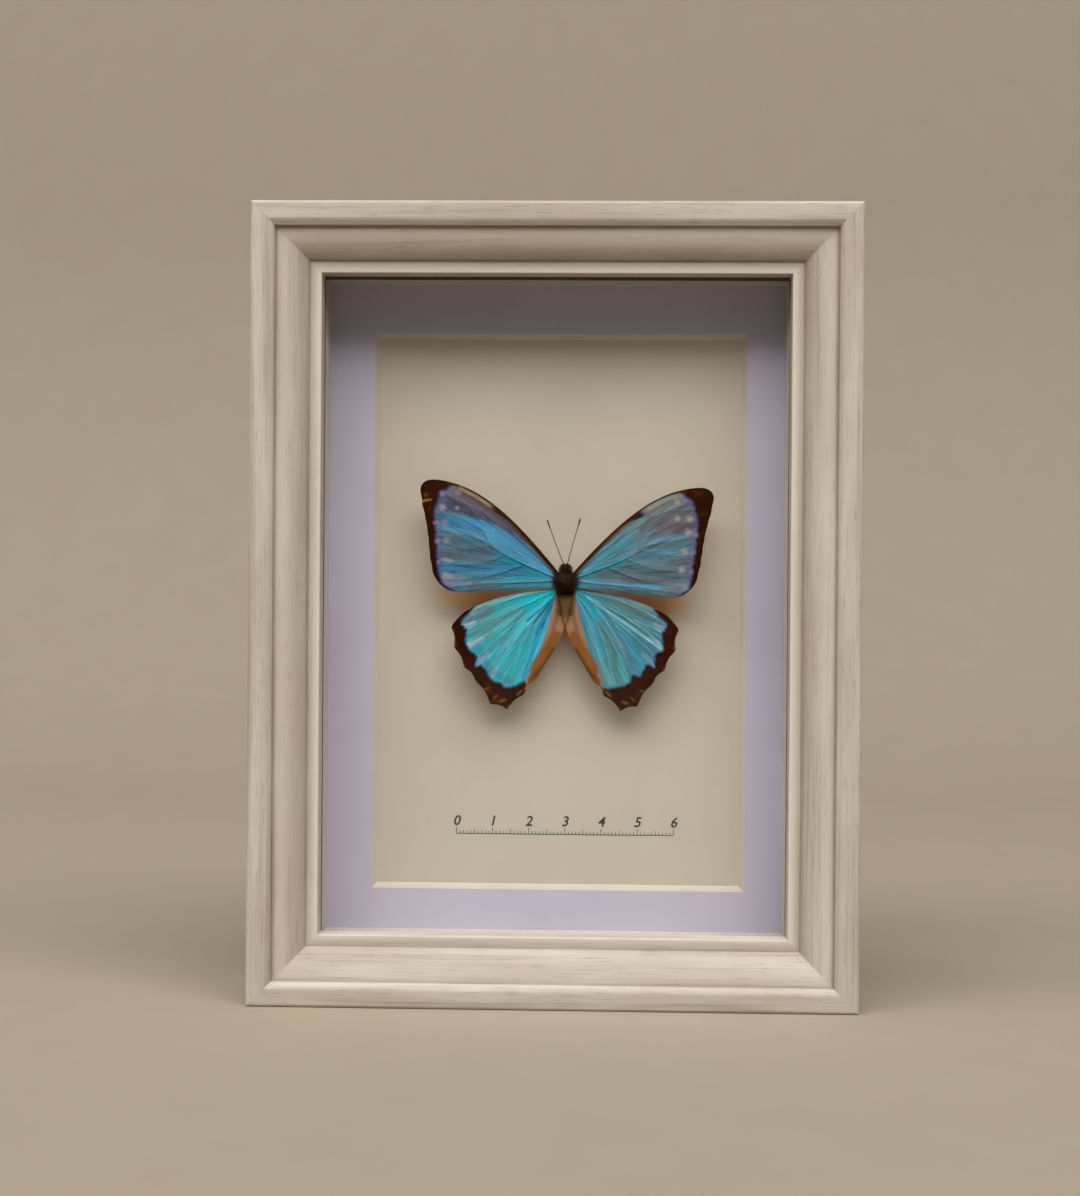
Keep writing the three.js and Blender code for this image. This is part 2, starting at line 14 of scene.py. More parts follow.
import bpy
import numpy as np
from mathutils import Matrix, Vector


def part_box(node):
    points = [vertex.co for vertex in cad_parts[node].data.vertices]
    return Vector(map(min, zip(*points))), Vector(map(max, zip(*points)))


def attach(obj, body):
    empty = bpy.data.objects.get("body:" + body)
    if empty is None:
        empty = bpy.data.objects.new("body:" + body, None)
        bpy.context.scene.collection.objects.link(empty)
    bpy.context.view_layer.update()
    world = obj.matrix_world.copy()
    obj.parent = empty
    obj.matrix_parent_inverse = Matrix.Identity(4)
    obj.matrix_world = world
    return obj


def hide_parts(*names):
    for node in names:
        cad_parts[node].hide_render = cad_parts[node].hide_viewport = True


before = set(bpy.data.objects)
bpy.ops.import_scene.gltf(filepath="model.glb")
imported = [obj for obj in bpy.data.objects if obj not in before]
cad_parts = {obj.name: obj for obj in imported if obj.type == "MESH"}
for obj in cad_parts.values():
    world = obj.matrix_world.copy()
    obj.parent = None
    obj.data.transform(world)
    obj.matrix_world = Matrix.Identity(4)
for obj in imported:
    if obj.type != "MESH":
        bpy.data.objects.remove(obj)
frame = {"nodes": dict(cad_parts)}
log = logging.getLogger("specimen")

MM = 0.001
FRAME_DEPTH = 36
ROOT_BODY = "root"
SEED = 11
Point = tuple[float, float]
Colour = tuple[float, float, float]
Place = tuple[float, float, float]
Socket = bpy.types.NodeSocket
Value = Union[float, Colour, Socket]


def node_box(name: str) -> tuple[np.ndarray, np.ndarray]:
    """The lowest and highest corners of a solid of the part, in millimetres."""
    low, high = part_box(name)
    return np.array(low) / MM, np.array(high) / MM


def y_at(depth: Value) -> Value:
    """The y of a depth, or of many, counted from the frame's front."""
    return depth - FRAME_DEPTH / 2


def shade(red: int, green: int, blue: int) -> Colour:
    """A colour given in 0 to 255 as a screen shows it, turned into the linear values that a shader takes."""
    levels = np.array([red, green, blue]) / 255
    linear = np.where(levels <= 0.04045, levels / 12.92, ((levels + 0.055) / 1.055) ** 2.4)
    return tuple(float(level) for level in linear)


def smooth_step(low: float, high: float, value: np.ndarray) -> np.ndarray:
    """Rises from 0 at low to 1 at high as 3 t squared less 2 t cubed, and is flat outside them."""
    share = np.clip((value - low) / (high - low), 0, 1)
    return share * share * (3 - 2 * share)


def unit(rows: np.ndarray) -> np.ndarray:
    """Rows of x, y, z brought to length one."""
    return rows / np.linalg.norm(rows, axis=1, keepdims=True)


def bowed(share: np.ndarray, start: np.ndarray, handle: np.ndarray, end: np.ndarray) -> np.ndarray:
    """The places at some shares of a curve from start to end: a Bezier curve with one handle."""
    return (1 - share) ** 2 * start + 2 * share * (1 - share) * handle + share**2 * end


class Side(Enum):
    """Which side of the body a wing or an antenna is on, as seen from the front."""

    LEFT = -1
    RIGHT = 1

    @property
    def word(self) -> str:
        """The side's name in lower case."""
        return self.name.lower()


# Curves in a plane


def bezier(points: list[Point], count: int) -> np.ndarray:
    """Points along a Bezier curve of any degree, without its first point.

    At share t the curve is the sum of binomial(n, k) times t to the k times (1 - t) to the n - k times
    point k.

    Args:
        points: The first point, the handles and the last point.
        count: How many points to give.

    Returns:
        An array of count rows.
    """
    share = np.linspace(0, 1, count + 1)[1:, None]
    degree = len(points) - 1
    terms = [
        math.comb(degree, k) * share**k * (1 - share) ** (degree - k) * np.array(point)
        for k, point in enumerate(points)
    ]
    return np.sum(terms, axis=0)


def eased(points: list[Point], per_span: int = 8) -> np.ndarray:
    """A smooth curve through every point, each span a Catmull-Rom cubic in the share along it.

    Args:
        points: At least two points that the curve goes through.
        per_span: How many steps each span takes.

    Returns:
        The curve's points, both ends with them.
    """
    through = np.array([points[0], *points, points[-1]], dtype=float)
    share = np.linspace(0, 1, per_span, endpoint=False)[:, None]
    spans = []
    for a, b, c, d in zip(through, through[1:], through[2:], through[3:]):
        bend, twist = 2 * a - 5 * b + 4 * c - d, 3 * b - a - 3 * c + d
        cubic = 2 * b + (c - a) * share + bend * share**2 + twist * share**3
        spans.append(cubic / 2)
    return np.vstack([*spans, through[-1:]])


@dataclass(frozen=True)
class Nearness:
    """How far places are from a path, how far along it the nearest point is, and on which side they are."""

    distance: np.ndarray
    along: np.ndarray
    side: np.ndarray


def nearness(places: np.ndarray, path: np.ndarray) -> Nearness:
    """Measures places against a path, by the foot of the perpendicular on each of its segments.

    Args:
        places: Rows of u, v.
        path: The path's points.

    Returns:
        The distance to the nearest segment, the share of the path's length at its foot, and 1 or -1 for the
        side.
    """
    if len(path) == 1:
        far = np.linalg.norm(places - path[0], axis=1)
        return Nearness(far, np.zeros(len(places)), np.ones(len(places)))
    starts, steps = path[:-1], np.diff(path, axis=0)
    lengths = np.linalg.norm(steps, axis=1)
    run = np.concatenate([[0], np.cumsum(lengths)])
    best = np.full(len(places), np.inf)
    along = np.zeros(len(places))
    side = np.ones(len(places))
    for start, step, length, before in zip(starts, steps, lengths, run):
        offset = places - start
        foot = np.clip(offset @ step / length**2, 0, 1)
        gap = offset - foot[:, None] * step
        distance = np.hypot(gap[:, 0], gap[:, 1])
        closer = distance < best
        best = np.where(closer, distance, best)
        along = np.where(closer, (before + foot * length) / run[-1], along)
        turn = step[0] * offset[:, 1] - step[1] * offset[:, 0]
        side = np.where(closer, np.where(turn > 0, 1.0, -1.0), side)
    return Nearness(best, along, side)


# Meshes


@dataclass
class Surface:
    """Points and faces in millimetres, with what each point carries for the materials."""

    points: np.ndarray
    faces: list[list[int]]
    uv: Union[np.ndarray, None] = None
    values: dict[str, np.ndarray] = field(default_factory=dict)
    colours: dict[str, np.ndarray] = field(default_factory=dict)
    finish_of_face: Union[list[int], None] = None


def grid_faces(
    rows: int, columns: int, wrap_rows: bool = False, wrap_columns: bool = False
) -> list[list[int]]:
    """The four-sided faces between the points of a grid, stored row by row.

    Args:
        rows: How many rows of points there are.
        columns: How many points are in a row.
        wrap_rows: Whether the last row joins the first.
        wrap_columns: Whether the last column joins the first.

    Returns:
        The four point numbers of each face.
    """
    row = np.arange(rows if wrap_rows else rows - 1)[:, None]
    column = np.arange(columns if wrap_columns else columns - 1)[None, :]
    next_row, next_column = (row + 1) % rows, (column + 1) % columns
    corners = [row * columns + column, next_row * columns + column]
    corners += [next_row * columns + next_column, row * columns + next_column]
    return np.stack(np.broadcast_arrays(*corners), axis=-1).reshape(-1, 4).tolist()


def closed_tube_faces(rings: int, sides: int) -> list[list[int]]:
    """The faces between rings of points stored one after the other, and one face over each end.

    Args:
        rings: How many rings there are.
        sides: How many points a ring has.

    Returns:
        The point numbers of each face.
    """
    first_end = list(range(sides))[::-1]
    last_end = list(range((rings - 1) * sides, rings * sides))
    return [*grid_faces(rings, sides, wrap_columns=True), first_end, last_end]


def joined(surfaces: list[Surface]) -> Surface:
    """Several plain surfaces as one."""
    starts = np.cumsum([0, *[len(one.points) for one in surfaces]])
    faces = []
    for one, start in zip(surfaces, starts):
        faces += [[corner + start for corner in face] for face in one.faces]
    return Surface(np.vstack([one.points for one in surfaces]), faces)


def signed_volume(surface: Surface) -> float:
    """The volume inside, below zero where the faces point inwards: a sixth of the sum of a . (b x c)."""
    triangles = [(face[0], face[k], face[k + 1]) for face in surface.faces for k in range(1, len(face) - 1)]
    a, b, c = (surface.points[np.array(corner)] for corner in zip(*triangles))
    return float(np.sum(a * np.cross(b, c)) / 6)


def added(name: str, data: bpy.types.ID) -> bpy.types.Object:
    """A new object of the scene that shows a mesh, a text, a lamp or a camera."""
    thing = bpy.data.objects.new(name, data)
    bpy.context.collection.objects.link(thing)
    return thing


def make_piece(
    name: str,
    surface: Surface,
    finishes: list[bpy.types.Material],
    stands_for: tuple[str, ...] = (),
    crease: float = 35,
) -> bpy.types.Object:
    """Puts a closed surface into the scene as a smooth piece of the specimen.

    Args:
        name: The piece's name.
        surface: Its points and faces. Faces that point inwards are turned round.
        finishes: Its materials.
        stands_for: The solids of the part that it takes the place of.
        crease: The angle in degrees from which an edge stays sharp.

    Returns:
        The new object.
    """
    faces = surface.faces
    if signed_volume(surface) < 0:
        faces = [face[::-1] for face in faces]
    mesh = bpy.data.meshes.new(name)
    mesh.from_pydata((surface.points * MM).tolist(), [], faces)
    corner_points = np.empty(len(mesh.loops), dtype=np.int32)
    mesh.loops.foreach_get("vertex_index", corner_points)
    if surface.uv is not None:
        mesh.uv_layers.new(name="UVMap").data.foreach_set("uv", surface.uv[corner_points].ravel())
    for word, values in surface.values.items():
        mesh.attributes.new(word, "FLOAT", "POINT").data.foreach_set("value", values.astype(np.float32))
    for word, colours in surface.colours.items():
        paint = np.column_stack([colours, np.ones(len(colours))]).astype(np.float32)
        mesh.attributes.new(word, "FLOAT_COLOR", "POINT").data.foreach_set("color", paint.ravel())
    for finish in finishes:
        mesh.materials.append(finish)
    if surface.finish_of_face is not None:
        mesh.polygons.foreach_set("material_index", surface.finish_of_face)
    mesh.polygons.foreach_set("use_smooth", [True] * len(mesh.polygons))
    mesh.set_sharp_from_angle(angle=math.radians(crease))
    mesh.update()
    piece = added(name, mesh)
    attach(piece, ROOT_BODY)
    if stands_for:
        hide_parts(*stands_for)
    log.info("%s: %d points", name, len(surface.points))
    return piece


def tube(path: np.ndarray, radii: np.ndarray, sides: int) -> Surface:
    """A round closed tube along a path in space.

    Each ring lies across the path's direction d, along d x up and d x (d x up), where up is the axis that the
    path's chord has least of. Both ends are closed by a face.

    Args:
        path: Rows of x, y, z.
        radii: The radius at each row.
        sides: How many points a ring has.

    Returns:
        The closed tube.
    """
    heading = unit(np.gradient(path, axis=0))
    up = np.eye(3)[np.argmin(np.abs(path[-1] - path[0]))]
    first = unit(np.cross(heading, up))
    second = np.cross(heading, first)
    turn = np.linspace(0, 2 * math.pi, sides, endpoint=False)[None, :, None]
    outwards = np.cos(turn) * first[:, None] + np.sin(turn) * second[:, None]
    rings = path[:, None] + radii[:, None, None] * outwards
    return Surface(rings.reshape(-1, 3), closed_tube_faces(len(path), sides))


# Materials


class Recipe:
    """A material as it is put together from shader nodes."""

    def __init__(self, name: str) -> None:
        """Starts an empty material with an output."""
        self.material = bpy.data.materials.new(name)
        self.material.use_nodes = True
        self.nodes = self.material.node_tree.nodes
        self.nodes.clear()
        self.output = self.nodes.new("ShaderNodeOutputMaterial")
        self.places = self.nodes.new("ShaderNodeTexCoord")

    def put(self, value: Value, socket: Socket) -> None:
        """Links a socket to another one, or sets a plain value on it."""
        if isinstance(value, bpy.types.NodeSocket):
            self.material.node_tree.links.new(value, socket)
        elif isinstance(value, tuple) and len(value) == 3 and socket.type == "RGBA":
            socket.default_value = (*value, 1)
        else:
            socket.default_value = value

    def stretched(self, scale: Colour, source: str = "Object", turn: Colour = (0, 0, 0)) -> Socket:
        """Coordinates multiplied by a scale along each axis, after a turn.

        Args:
            scale: How many units of the pattern a metre holds, along each axis.
            source: Object for places in the part, or UV for the surface's own map.
            turn: The turn about each axis, in radians.

        Returns:
            The coordinates.
        """
        mapping = self.nodes.new("ShaderNodeMapping")
        self.put(self.places.outputs[source], mapping.inputs["Vector"])
        self.put(scale, mapping.inputs["Scale"])
        self.put(turn, mapping.inputs["Rotation"])
        return mapping.outputs[0]

    def noise(
        self, where: Socket, detail: float = 4, roughness: float = 0.55, distortion: float = 0
    ) -> Socket:
        """Fractal noise from 0 to 1, one cell to a unit of its coordinates.

        Args:
            where: The coordinates.
            detail: How many finer layers it has.
            roughness: How strong each layer is beside the one before.
            distortion: How far it is warped.

        Returns:
            The noise.
        """
        node = self.nodes.new("ShaderNodeTexNoise")
        self.put(where, node.inputs["Vector"])
        self.put(1.0, node.inputs["Scale"])
        self.put(detail, node.inputs["Detail"])
        self.put(roughness, node.inputs["Roughness"])
        self.put(distortion, node.inputs["Distortion"])
        return node.outputs["Fac"]

    def streaks(self, along: float, across: float, *how: float) -> Socket:
        """Noise drawn out on the surface's own map, with so many cells to a metre each way."""
        return self.noise(self.stretched((along, across, 1), "UV"), *how)

    def grains(self, count: float, *how: float) -> Socket:
        """Noise with as many cells to a metre each way."""
        return self.noise(self.stretched((count,) * 3), *how)

    def cells(self, count: float, randomness: float = 1) -> Socket:
        """The distance from the middles of random cells, as many to a metre each way."""
        where = self.stretched((count,) * 3)
        node = self.nodes.new("ShaderNodeTexVoronoi")
        self.put(where, node.inputs["Vector"])
        self.put(1.0, node.inputs["Scale"])
        self.put(randomness, node.inputs["Randomness"])
        return node.outputs["Distance"]

    def vector(self, operation: str, first: Socket, second: Union[Colour, None] = None) -> bpy.types.Node:
        """A node that reckons with vectors."""
        node = self.nodes.new("ShaderNodeVectorMath")
        node.operation = operation
        self.put(first, node.inputs[0])
        if second is not None:
            self.put(second, node.inputs[1])
        return node

    def around(self, middle: Point, reach: Point) -> Socket:
        """How far along X and Z a place on a board is from a middle, in shares of the reach each way.

        Args:
            middle: The middle's x and z, in millimetres.
            reach: The reach along X and along Z.

        Returns:
            The distance, 1 at the reach.
        """
        across, up = middle
        away = self.vector("SUBTRACT", self.places.outputs["Object"], (across * MM, 0, up * MM))
        scale = (1 / (reach[0] * MM), 0, 1 / (reach[1] * MM))
        share = self.vector("MULTIPLY", away.outputs[0], scale)
        return self.vector("LENGTH", share.outputs[0]).outputs["Value"]

    def attribute(self, name: str, colour: bool = False) -> Socket:
        """What each point of the mesh carries under a name."""
        node = self.nodes.new("ShaderNodeAttribute")
        node.attribute_name = name
        return node.outputs["Color" if colour else "Fac"]

    def between(self, value: Value, low: float, high: float, first: float = 0, last: float = 1) -> Socket:
        """Goes smoothly from first where the value is low to last where it is high.

        Args:
            value: What is looked at.
            low: The value at which the result is first.
            high: The value at which it is last.
            first: The result at the low end.
            last: The result at the high end.

        Returns:
            The result.
        """
        node = self.nodes.new("ShaderNodeMapRange")
        node.interpolation_type = "SMOOTHSTEP"
        for socket, number in zip(node.inputs, (value, low, high, first, last)):
            self.put(number, socket)
        return node.outputs[0]

    def sums(self, operation: str, first: Value, second: Value) -> Socket:
        """The two values added, multiplied or as the operation says."""
        node = self.nodes.new("ShaderNodeMath")
        node.operation = operation
        self.put(first, node.inputs[0])
        self.put(second, node.inputs[1])
        return node.outputs[0]

    def times(self, first: Value, second: Value) -> Socket:
        """The product of two values."""
        return self.sums("MULTIPLY", first, second)

    def tinted(self, colour: Value, tint: Colour) -> Socket:
        """A colour multiplied by a tint."""
        return self.mix(colour, tint, 1.0, "MULTIPLY")

    def mix(self, first: Value, second: Value, share: Value, way: str = "MIX") -> Socket:
        """The first colour with the second laid on it by a share.

        Args:
            first: The colour below.
            second: The colour laid on it.
            share: How far it is laid on, from 0 to 1.
            way: How it is laid on, in the node's own words.

        Returns:
            The mixed colour.
        """
        node = self.nodes.new("ShaderNodeMix")
        node.data_type = "RGBA"
        node.blend_type = way
        self.put(share, node.inputs[0])
        self.put(first, node.inputs[6])
        self.put(second, node.inputs[7])
        return node.outputs[2]

    def over(
        self, tone: Value, layer: Value, where: Socket, low: float, high: float, *ends: float
    ) -> Socket:
        """The tone under a layer, whose share goes as between says, from 0 to 1 if no ends are given.

        Args:
            tone: The colour below.
            layer: The colour above.
            where: The value that says where the layer lies.
            low: The value at which its share starts to change.
            high: The value at which it has changed.
            ends: The layer's share at the low end and at the high end.

        Returns:
            The mixed colour.
        """
        return self.mix(tone, layer, self.between(where, low, high, *ends))

    def relief(self, height: Socket, depth: float) -> Socket:
        """A bumped normal, depth metres high."""
        node = self.nodes.new("ShaderNodeBump")
        self.put(height, node.inputs["Height"])
        self.put(1.0, node.inputs["Strength"])
        self.put(depth, node.inputs["Distance"])
        return node.outputs[0]

    def principled(self, **inputs: Value) -> Socket:
        """A principled shader, each input named in lower case with underscores for spaces."""
        node = self.nodes.new("ShaderNodeBsdfPrincipled")
        by_name = {socket.name.lower().replace(" ", "_"): socket for socket in node.inputs}
        for name, value in inputs.items():
            self.put(value, by_name[name])
        return node.outputs[0]

    def done(self, shader: Socket) -> bpy.types.Material:
        """Links the shader to the output and gives the material."""
        self.put(shader, self.output.inputs["Surface"])
        return self.material

    def plain(self, **inputs: Value) -> bpy.types.Material:
        """The material with one principled shader, its inputs named as for principled."""
        return self.done(self.principled(**inputs))


@dataclass(frozen=True)
class LimedWood:
    """Pale limed wood with its grain along the rail, on a map of metres along and across it."""

    name: str = "limed_wood"
    ground: Colour = shade(209, 197, 184)
    lime: Colour = shade(228, 220, 210)
    grain: Colour = shade(168, 151, 134)
    pore: Colour = shade(118, 98, 78)
    rubbed: Colour = shade(247, 238, 229)
    stain: Colour = shade(112, 91, 66)
    rubbed_share: float = 0.9
    stained_share: float = 0.68
    dent: float = 0.00006

    def make(self) -> bpy.types.Material:
        """Broad clouds of lime, a soft grain, and short dark pores that also dent the surface.

        One carried attribute says where the lime is lightened by wear and by painted highlight, the other
        where it is darkened by staining and by painted shade.
        """
        recipe = Recipe(self.name)
        clouds = recipe.streaks(14, 90, 3)
        figure = recipe.streaks(9, 420, 5, 0.62, 0.6)
        fine = recipe.streaks(60, 2600, 3, 0.6)
        pores = recipe.streaks(130, 5200, 2, 0.5)
        tone = recipe.over(self.ground, self.lime, clouds, 0.35, 0.7)
        tone = recipe.over(tone, self.grain, figure, 0.5, 0.72, 0, 0.5)
        tone = recipe.over(tone, self.grain, fine, 0.52, 0.75, 0, 0.45)
        open_pores = recipe.between(pores, 0.63, 0.72, 0, 0.55)
        tone = recipe.mix(tone, self.pore, open_pores)
        # Wear and painted highlight lighten the lime; staining and painted shade darken it.
        tone = recipe.mix(tone, self.rubbed, recipe.times(recipe.attribute("worn"), self.rubbed_share))
        tone = recipe.mix(tone, self.stain, recipe.times(recipe.attribute("stain_and_shade"), self.stained_share))
        height = recipe.sums("SUBTRACT", recipe.times(fine, 0.5), open_pores)
        return recipe.plain(
            base_color=tone,
            roughness=recipe.between(clouds, 0.3, 0.7, 0.5, 0.66),
            specular_ior_level=0.35,
            normal=recipe.relief(height, self.dent),
        )


@dataclass(frozen=True)
class Glazing:
    """Clear picture glass that lets the lamps through."""

    name: str = "picture_glass"
    clarity: Colour = (0.985, 0.992, 0.988)
    let_through: Colour = (0.96, 0.97, 0.965)

    def make(self) -> bpy.types.Material:
        """A refracting pane, with faint waves, that casts no shadow of its own."""
        recipe = Recipe(self.name)
        waves = recipe.noise(recipe.stretched((9, 9, 6)), 2)
        pane = recipe.principled(
            base_color=self.clarity,
            roughness=0.02,
            ior=1.18,
            transmission_weight=1.0,
            normal=recipe.relief(waves, 0.00002),
        )
        path = recipe.nodes.new("ShaderNodeLightPath")
        through = recipe.nodes.new("ShaderNodeBsdfTransparent")
        recipe.put(self.let_through, through.inputs[0])
        choice = recipe.nodes.new("ShaderNodeMixShader")
        recipe.put(path.outputs["Is Shadow Ray"], choice.inputs[0])
        recipe.put(pane, choice.inputs[1])
        recipe.put(through.outputs[0], choice.inputs[2])
        return recipe.done(choice.outputs[0])


@dataclass(frozen=True)
class Board:
    """Paper, card or mat board: a tone with soft clouds, flecks of fibre and a toothed surface.

    Its tones are given in 0 to 255 as a screen shows them. A board can be dark with painted shade in front of
    a y, in metres. Round each of some middles, given as x and z with its reach each way in millimetres, it
    can
    carry a painted warm shadow: its tone tinted as by light that has passed through the wings.
    """

    name: str
    tone: Colour
    cloud: Colour
    fleck: Colour
    cloud_share: float = 0.6
    fleck_share: float = 0.3
    tooth: float = 0.00003
    soiled_to: Union[float, None] = None
    soil: Colour = (92, 80, 72)
    soil_edge: float = 0.0004
    yellowed_at: tuple[tuple[Point, Point], ...] = ()
    yellowing: Colour = (1.25, 0.92, 0.6)

    def make(self) -> bpy.types.Material:
        """Clouds a few centimetres wide, pulp under a millimetre wide and thin crossing fibres."""
        recipe = Recipe(self.name)
        clouds = recipe.grains(26, 4, 0.6)
        pulp = recipe.grains(1500, 5, 0.65)
        strands = recipe.noise(recipe.stretched((420, 420, 2600), turn=(0, 0.6, 0)), 3, 0.6, 1.5)
        fleck = shade(*self.fleck)
        tone = recipe.over(shade(*self.tone), shade(*self.cloud), clouds, 0.35, 0.7, 0, self.cloud_share)
        tone = recipe.over(tone, fleck, pulp, 0.5, 0.78, 0, self.fleck_share)
        tone = recipe.over(tone, fleck, strands, 0.62, 0.76, 0, self.fleck_share * 0.6)
        # Painted shade on the front of a board, where the frame's lip shades it.
        if self.soiled_to is not None:
            parts = recipe.nodes.new("ShaderNodeSeparateXYZ")
            recipe.put(recipe.places.outputs["Object"], parts.inputs[0])
            unshaded_from = self.soiled_to + self.soil_edge
            soil = shade(*self.soil)
            tone = recipe.over(tone, soil, parts.outputs["Y"], self.soiled_to, unshaded_from, 0.9, 0)
        # Painted warm shadows, tinted as by light through the wings.
        for middle, reach in self.yellowed_at:
            warm_shadowed = recipe.tinted(tone, self.yellowing)
            tone = recipe.over(tone, warm_shadowed, recipe.around(middle, reach), 0.2, 1, 1, 0)
        height = recipe.sums("ADD", pulp, recipe.times(strands, 0.6))
        return recipe.plain(
            base_color=tone,
            roughness=0.9,
            specular_ior_level=0.2,
            sheen_weight=0.08,
            normal=recipe.relief(height, self.tooth),
        )


@dataclass(frozen=True)
class Steel:
    """Rolled steel with a bright plating, brushed along X and dulled in patches."""

    name: str = "plated_steel"
    bright: Colour = (0.62, 0.62, 0.6)
    dull: Colour = (0.36, 0.35, 0.33)

    def make(self) -> bpy.types.Material:
        """Fine brush marks over cloudy patches of tarnish."""
        recipe = Recipe(self.name)
        brush = recipe.noise(recipe.stretched((120, 4000, 4000)), 3)
        patches = recipe.grains(260, 4)
        tone = recipe.over(self.bright, self.dull, patches, 0.45, 0.75, 0, 0.8)
        return recipe.plain(
            base_color=tone,
            metallic=1.0,
            roughness=recipe.between(patches, 0.3, 0.8, 0.25, 0.5),
            normal=recipe.relief(brush, 0.00001),
        )


@dataclass(frozen=True)
class WingScales:
    """The upper side of a wing: painted colours in streaks, with a dark border and a satin lustre."""

    name: str
    gain: Colour
    border: Colour = shade(42, 15, 3)
    border_light: Colour = shade(88, 44, 8)
    rim: Colour = shade(26, 9, 3)
    fringe: Colour = shade(52, 34, 84)
    fringe_width: float = 0.8
    grey: Colour = shade(112, 120, 134)
    dimmer: Colour = (0.42, 0.5, 0.58)
    brighter: Colour = (1.6, 1.52, 1.45)
    spot_shadow: Colour = (0.6, 0.55, 0.5)
    raggedness: float = 0.35
    lustre: float = 0.3
    rise: float = 0.00005

    def make(self) -> bpy.types.Material:
        """The map runs outwards from the root along U and round it along V, so streaks run like the veins.

        Streaks under a millimetre wide lighten and darken the painted colour, broader ones turn it grey, and
        lines of scales darken it finely. The border shows where its signed distance, roughened by the
        streaks, is above zero, behind a fringe, and it is darkest along the wing's rim.
        """
        recipe = Recipe(self.name)
        broad = recipe.streaks(50, 620, 3, 0.55, 0.5)
        streaks = recipe.streaks(95, 1500, 4, 0.6, 0.4)
        fine = recipe.streaks(420, 6500, 3, 0.6)
        glints = recipe.streaks(170, 2900, 3, 0.6)
        blotches = recipe.grains(330, 4, 0.6)
        painted = recipe.tinted(recipe.attribute("paint", colour=True), self.gain)
        dim = recipe.tinted(painted, self.dimmer)
        lit = recipe.tinted(painted, self.brighter)
        tone = recipe.over(painted, self.grey, broad, 0.48, 0.66, 0, 0.42)
        tone = recipe.over(tone, dim, streaks, 0.5, 0.3, 0, 0.85)
        tone = recipe.over(tone, lit, streaks, 0.52, 0.7, 0, 0.8)
        tone = recipe.over(tone, dim, fine, 0.5, 0.72, 0, 0.75)
        tone = recipe.over(tone, lit, glints, 0.56, 0.72, 0, 0.75)
        border = recipe.attribute("border")
        ragged = recipe.between(streaks, 0.25, 0.75, -self.raggedness, self.raggedness)
        ragged = recipe.sums("ADD", border, ragged)
        tone = recipe.over(tone, self.fringe, ragged, -self.fringe_width, -0.1, 0, 0.8)
        brown = recipe.over(self.border, self.border_light, blotches, 0.5, 0.75, 0, 0.6)
        brown = recipe.over(brown, self.border, fine, 0.4, 0.7, 0, 0.5)
        brown = recipe.over(brown, self.rim, recipe.attribute("rim"), 0.15, 0.7, 0.9, 0)
        is_border = recipe.between(ragged, -0.3, 0.35)
        tone = recipe.mix(tone, brown, is_border)
        spots = recipe.attribute("spot_paint", colour=True)
        spots = recipe.over(spots, recipe.tinted(spots, self.spot_shadow), fine, 0.45, 0.8)
        tone = recipe.mix(tone, spots, recipe.attribute("spot"))
        rows = recipe.cells(9000)
        height = recipe.sums("ADD", recipe.times(streaks, 0.8), recipe.times(rows, 0.35))
        return recipe.plain(
            base_color=tone,
            metallic=recipe.between(is_border, 0, 1, self.lustre, 0),
            roughness=recipe.between(fine, 0.2, 0.8, 0.5, 0.7),
            specular_ior_level=0.02,
            normal=recipe.relief(height, self.rise),
        )


@dataclass(frozen=True)
class Chitin:
    """Limbs, antennae, the wings' undersides and the printed ink: two tones in clouds, finely grained."""

    name: str
    tone: Colour
    other: Colour
    dullness: float = 0.6
    clouds_to_metre: float = 900
    bumps: float = 0.00003

    def make(self) -> bpy.types.Material:
        """Clouds of the second tone on the first, each as dull as the dullness says, more or less."""
        recipe = Recipe(self.name)
        clouds = recipe.grains(self.clouds_to_metre, 4)
        grain = recipe.grains(7000, 3)
        tone = recipe.over(self.tone, self.other, clouds, 0.35, 0.7)
        return recipe.plain(
            base_color=tone,
            roughness=recipe.between(grain, 0.2, 0.8, self.dullness - 0.1, self.dullness + 0.15),
            normal=recipe.relief(grain, self.bumps),
        )


@dataclass(frozen=True)
class PaintedBody:
    """The body's skin and hair: the tone that each point carries, in fine grains."""

    name: str = "body_skin"
    darker: Colour = (0.45, 0.42, 0.4)

    def make(self) -> bpy.types.Material:
        """The carried tone, darkened in grains a fifth of a millimetre wide."""
        recipe = Recipe(self.name)
        grain = recipe.grains(5200, 4)
        tone = recipe.attribute("paint", colour=True)
        dark = recipe.tinted(tone, self.darker)
        return recipe.plain(
            base_color=recipe.over(tone, dark, grain, 0.4, 0.7, 0, 0.8),
            roughness=0.85,
            specular_ior_level=0.12,
            sheen_weight=0.05,
            normal=recipe.relief(grain, 0.00006),
        )


@dataclass(frozen=True)
class CompoundEye:
    """A glossy dark eye with a net of facets."""

    name: str = "compound_eye"
    middle: Colour = (0.022, 0.012, 0.008)
    seam: Colour = (0.06, 0.03, 0.018)
    dome: float = 0.00002

    def make(self) -> bpy.types.Material:
        """Facets fourteen to a millimetre, each a small dome."""
        recipe = Recipe(self.name)
        facets = recipe.cells(14000, 0.2)
        tone = recipe.over(self.middle, self.seam, facets, 0.1, 0.6)
        bumped = recipe.relief(facets, -self.dome)
        return recipe.plain(base_color=tone, roughness=0.28, normal=bumped)


# The frame


class Rail(Enum):
    """The frame's four rails, by how many quarter turns each is from the bottom one."""

    BOTTOM = 0
    LEFT = 1
    TOP = 2
    RIGHT = 3


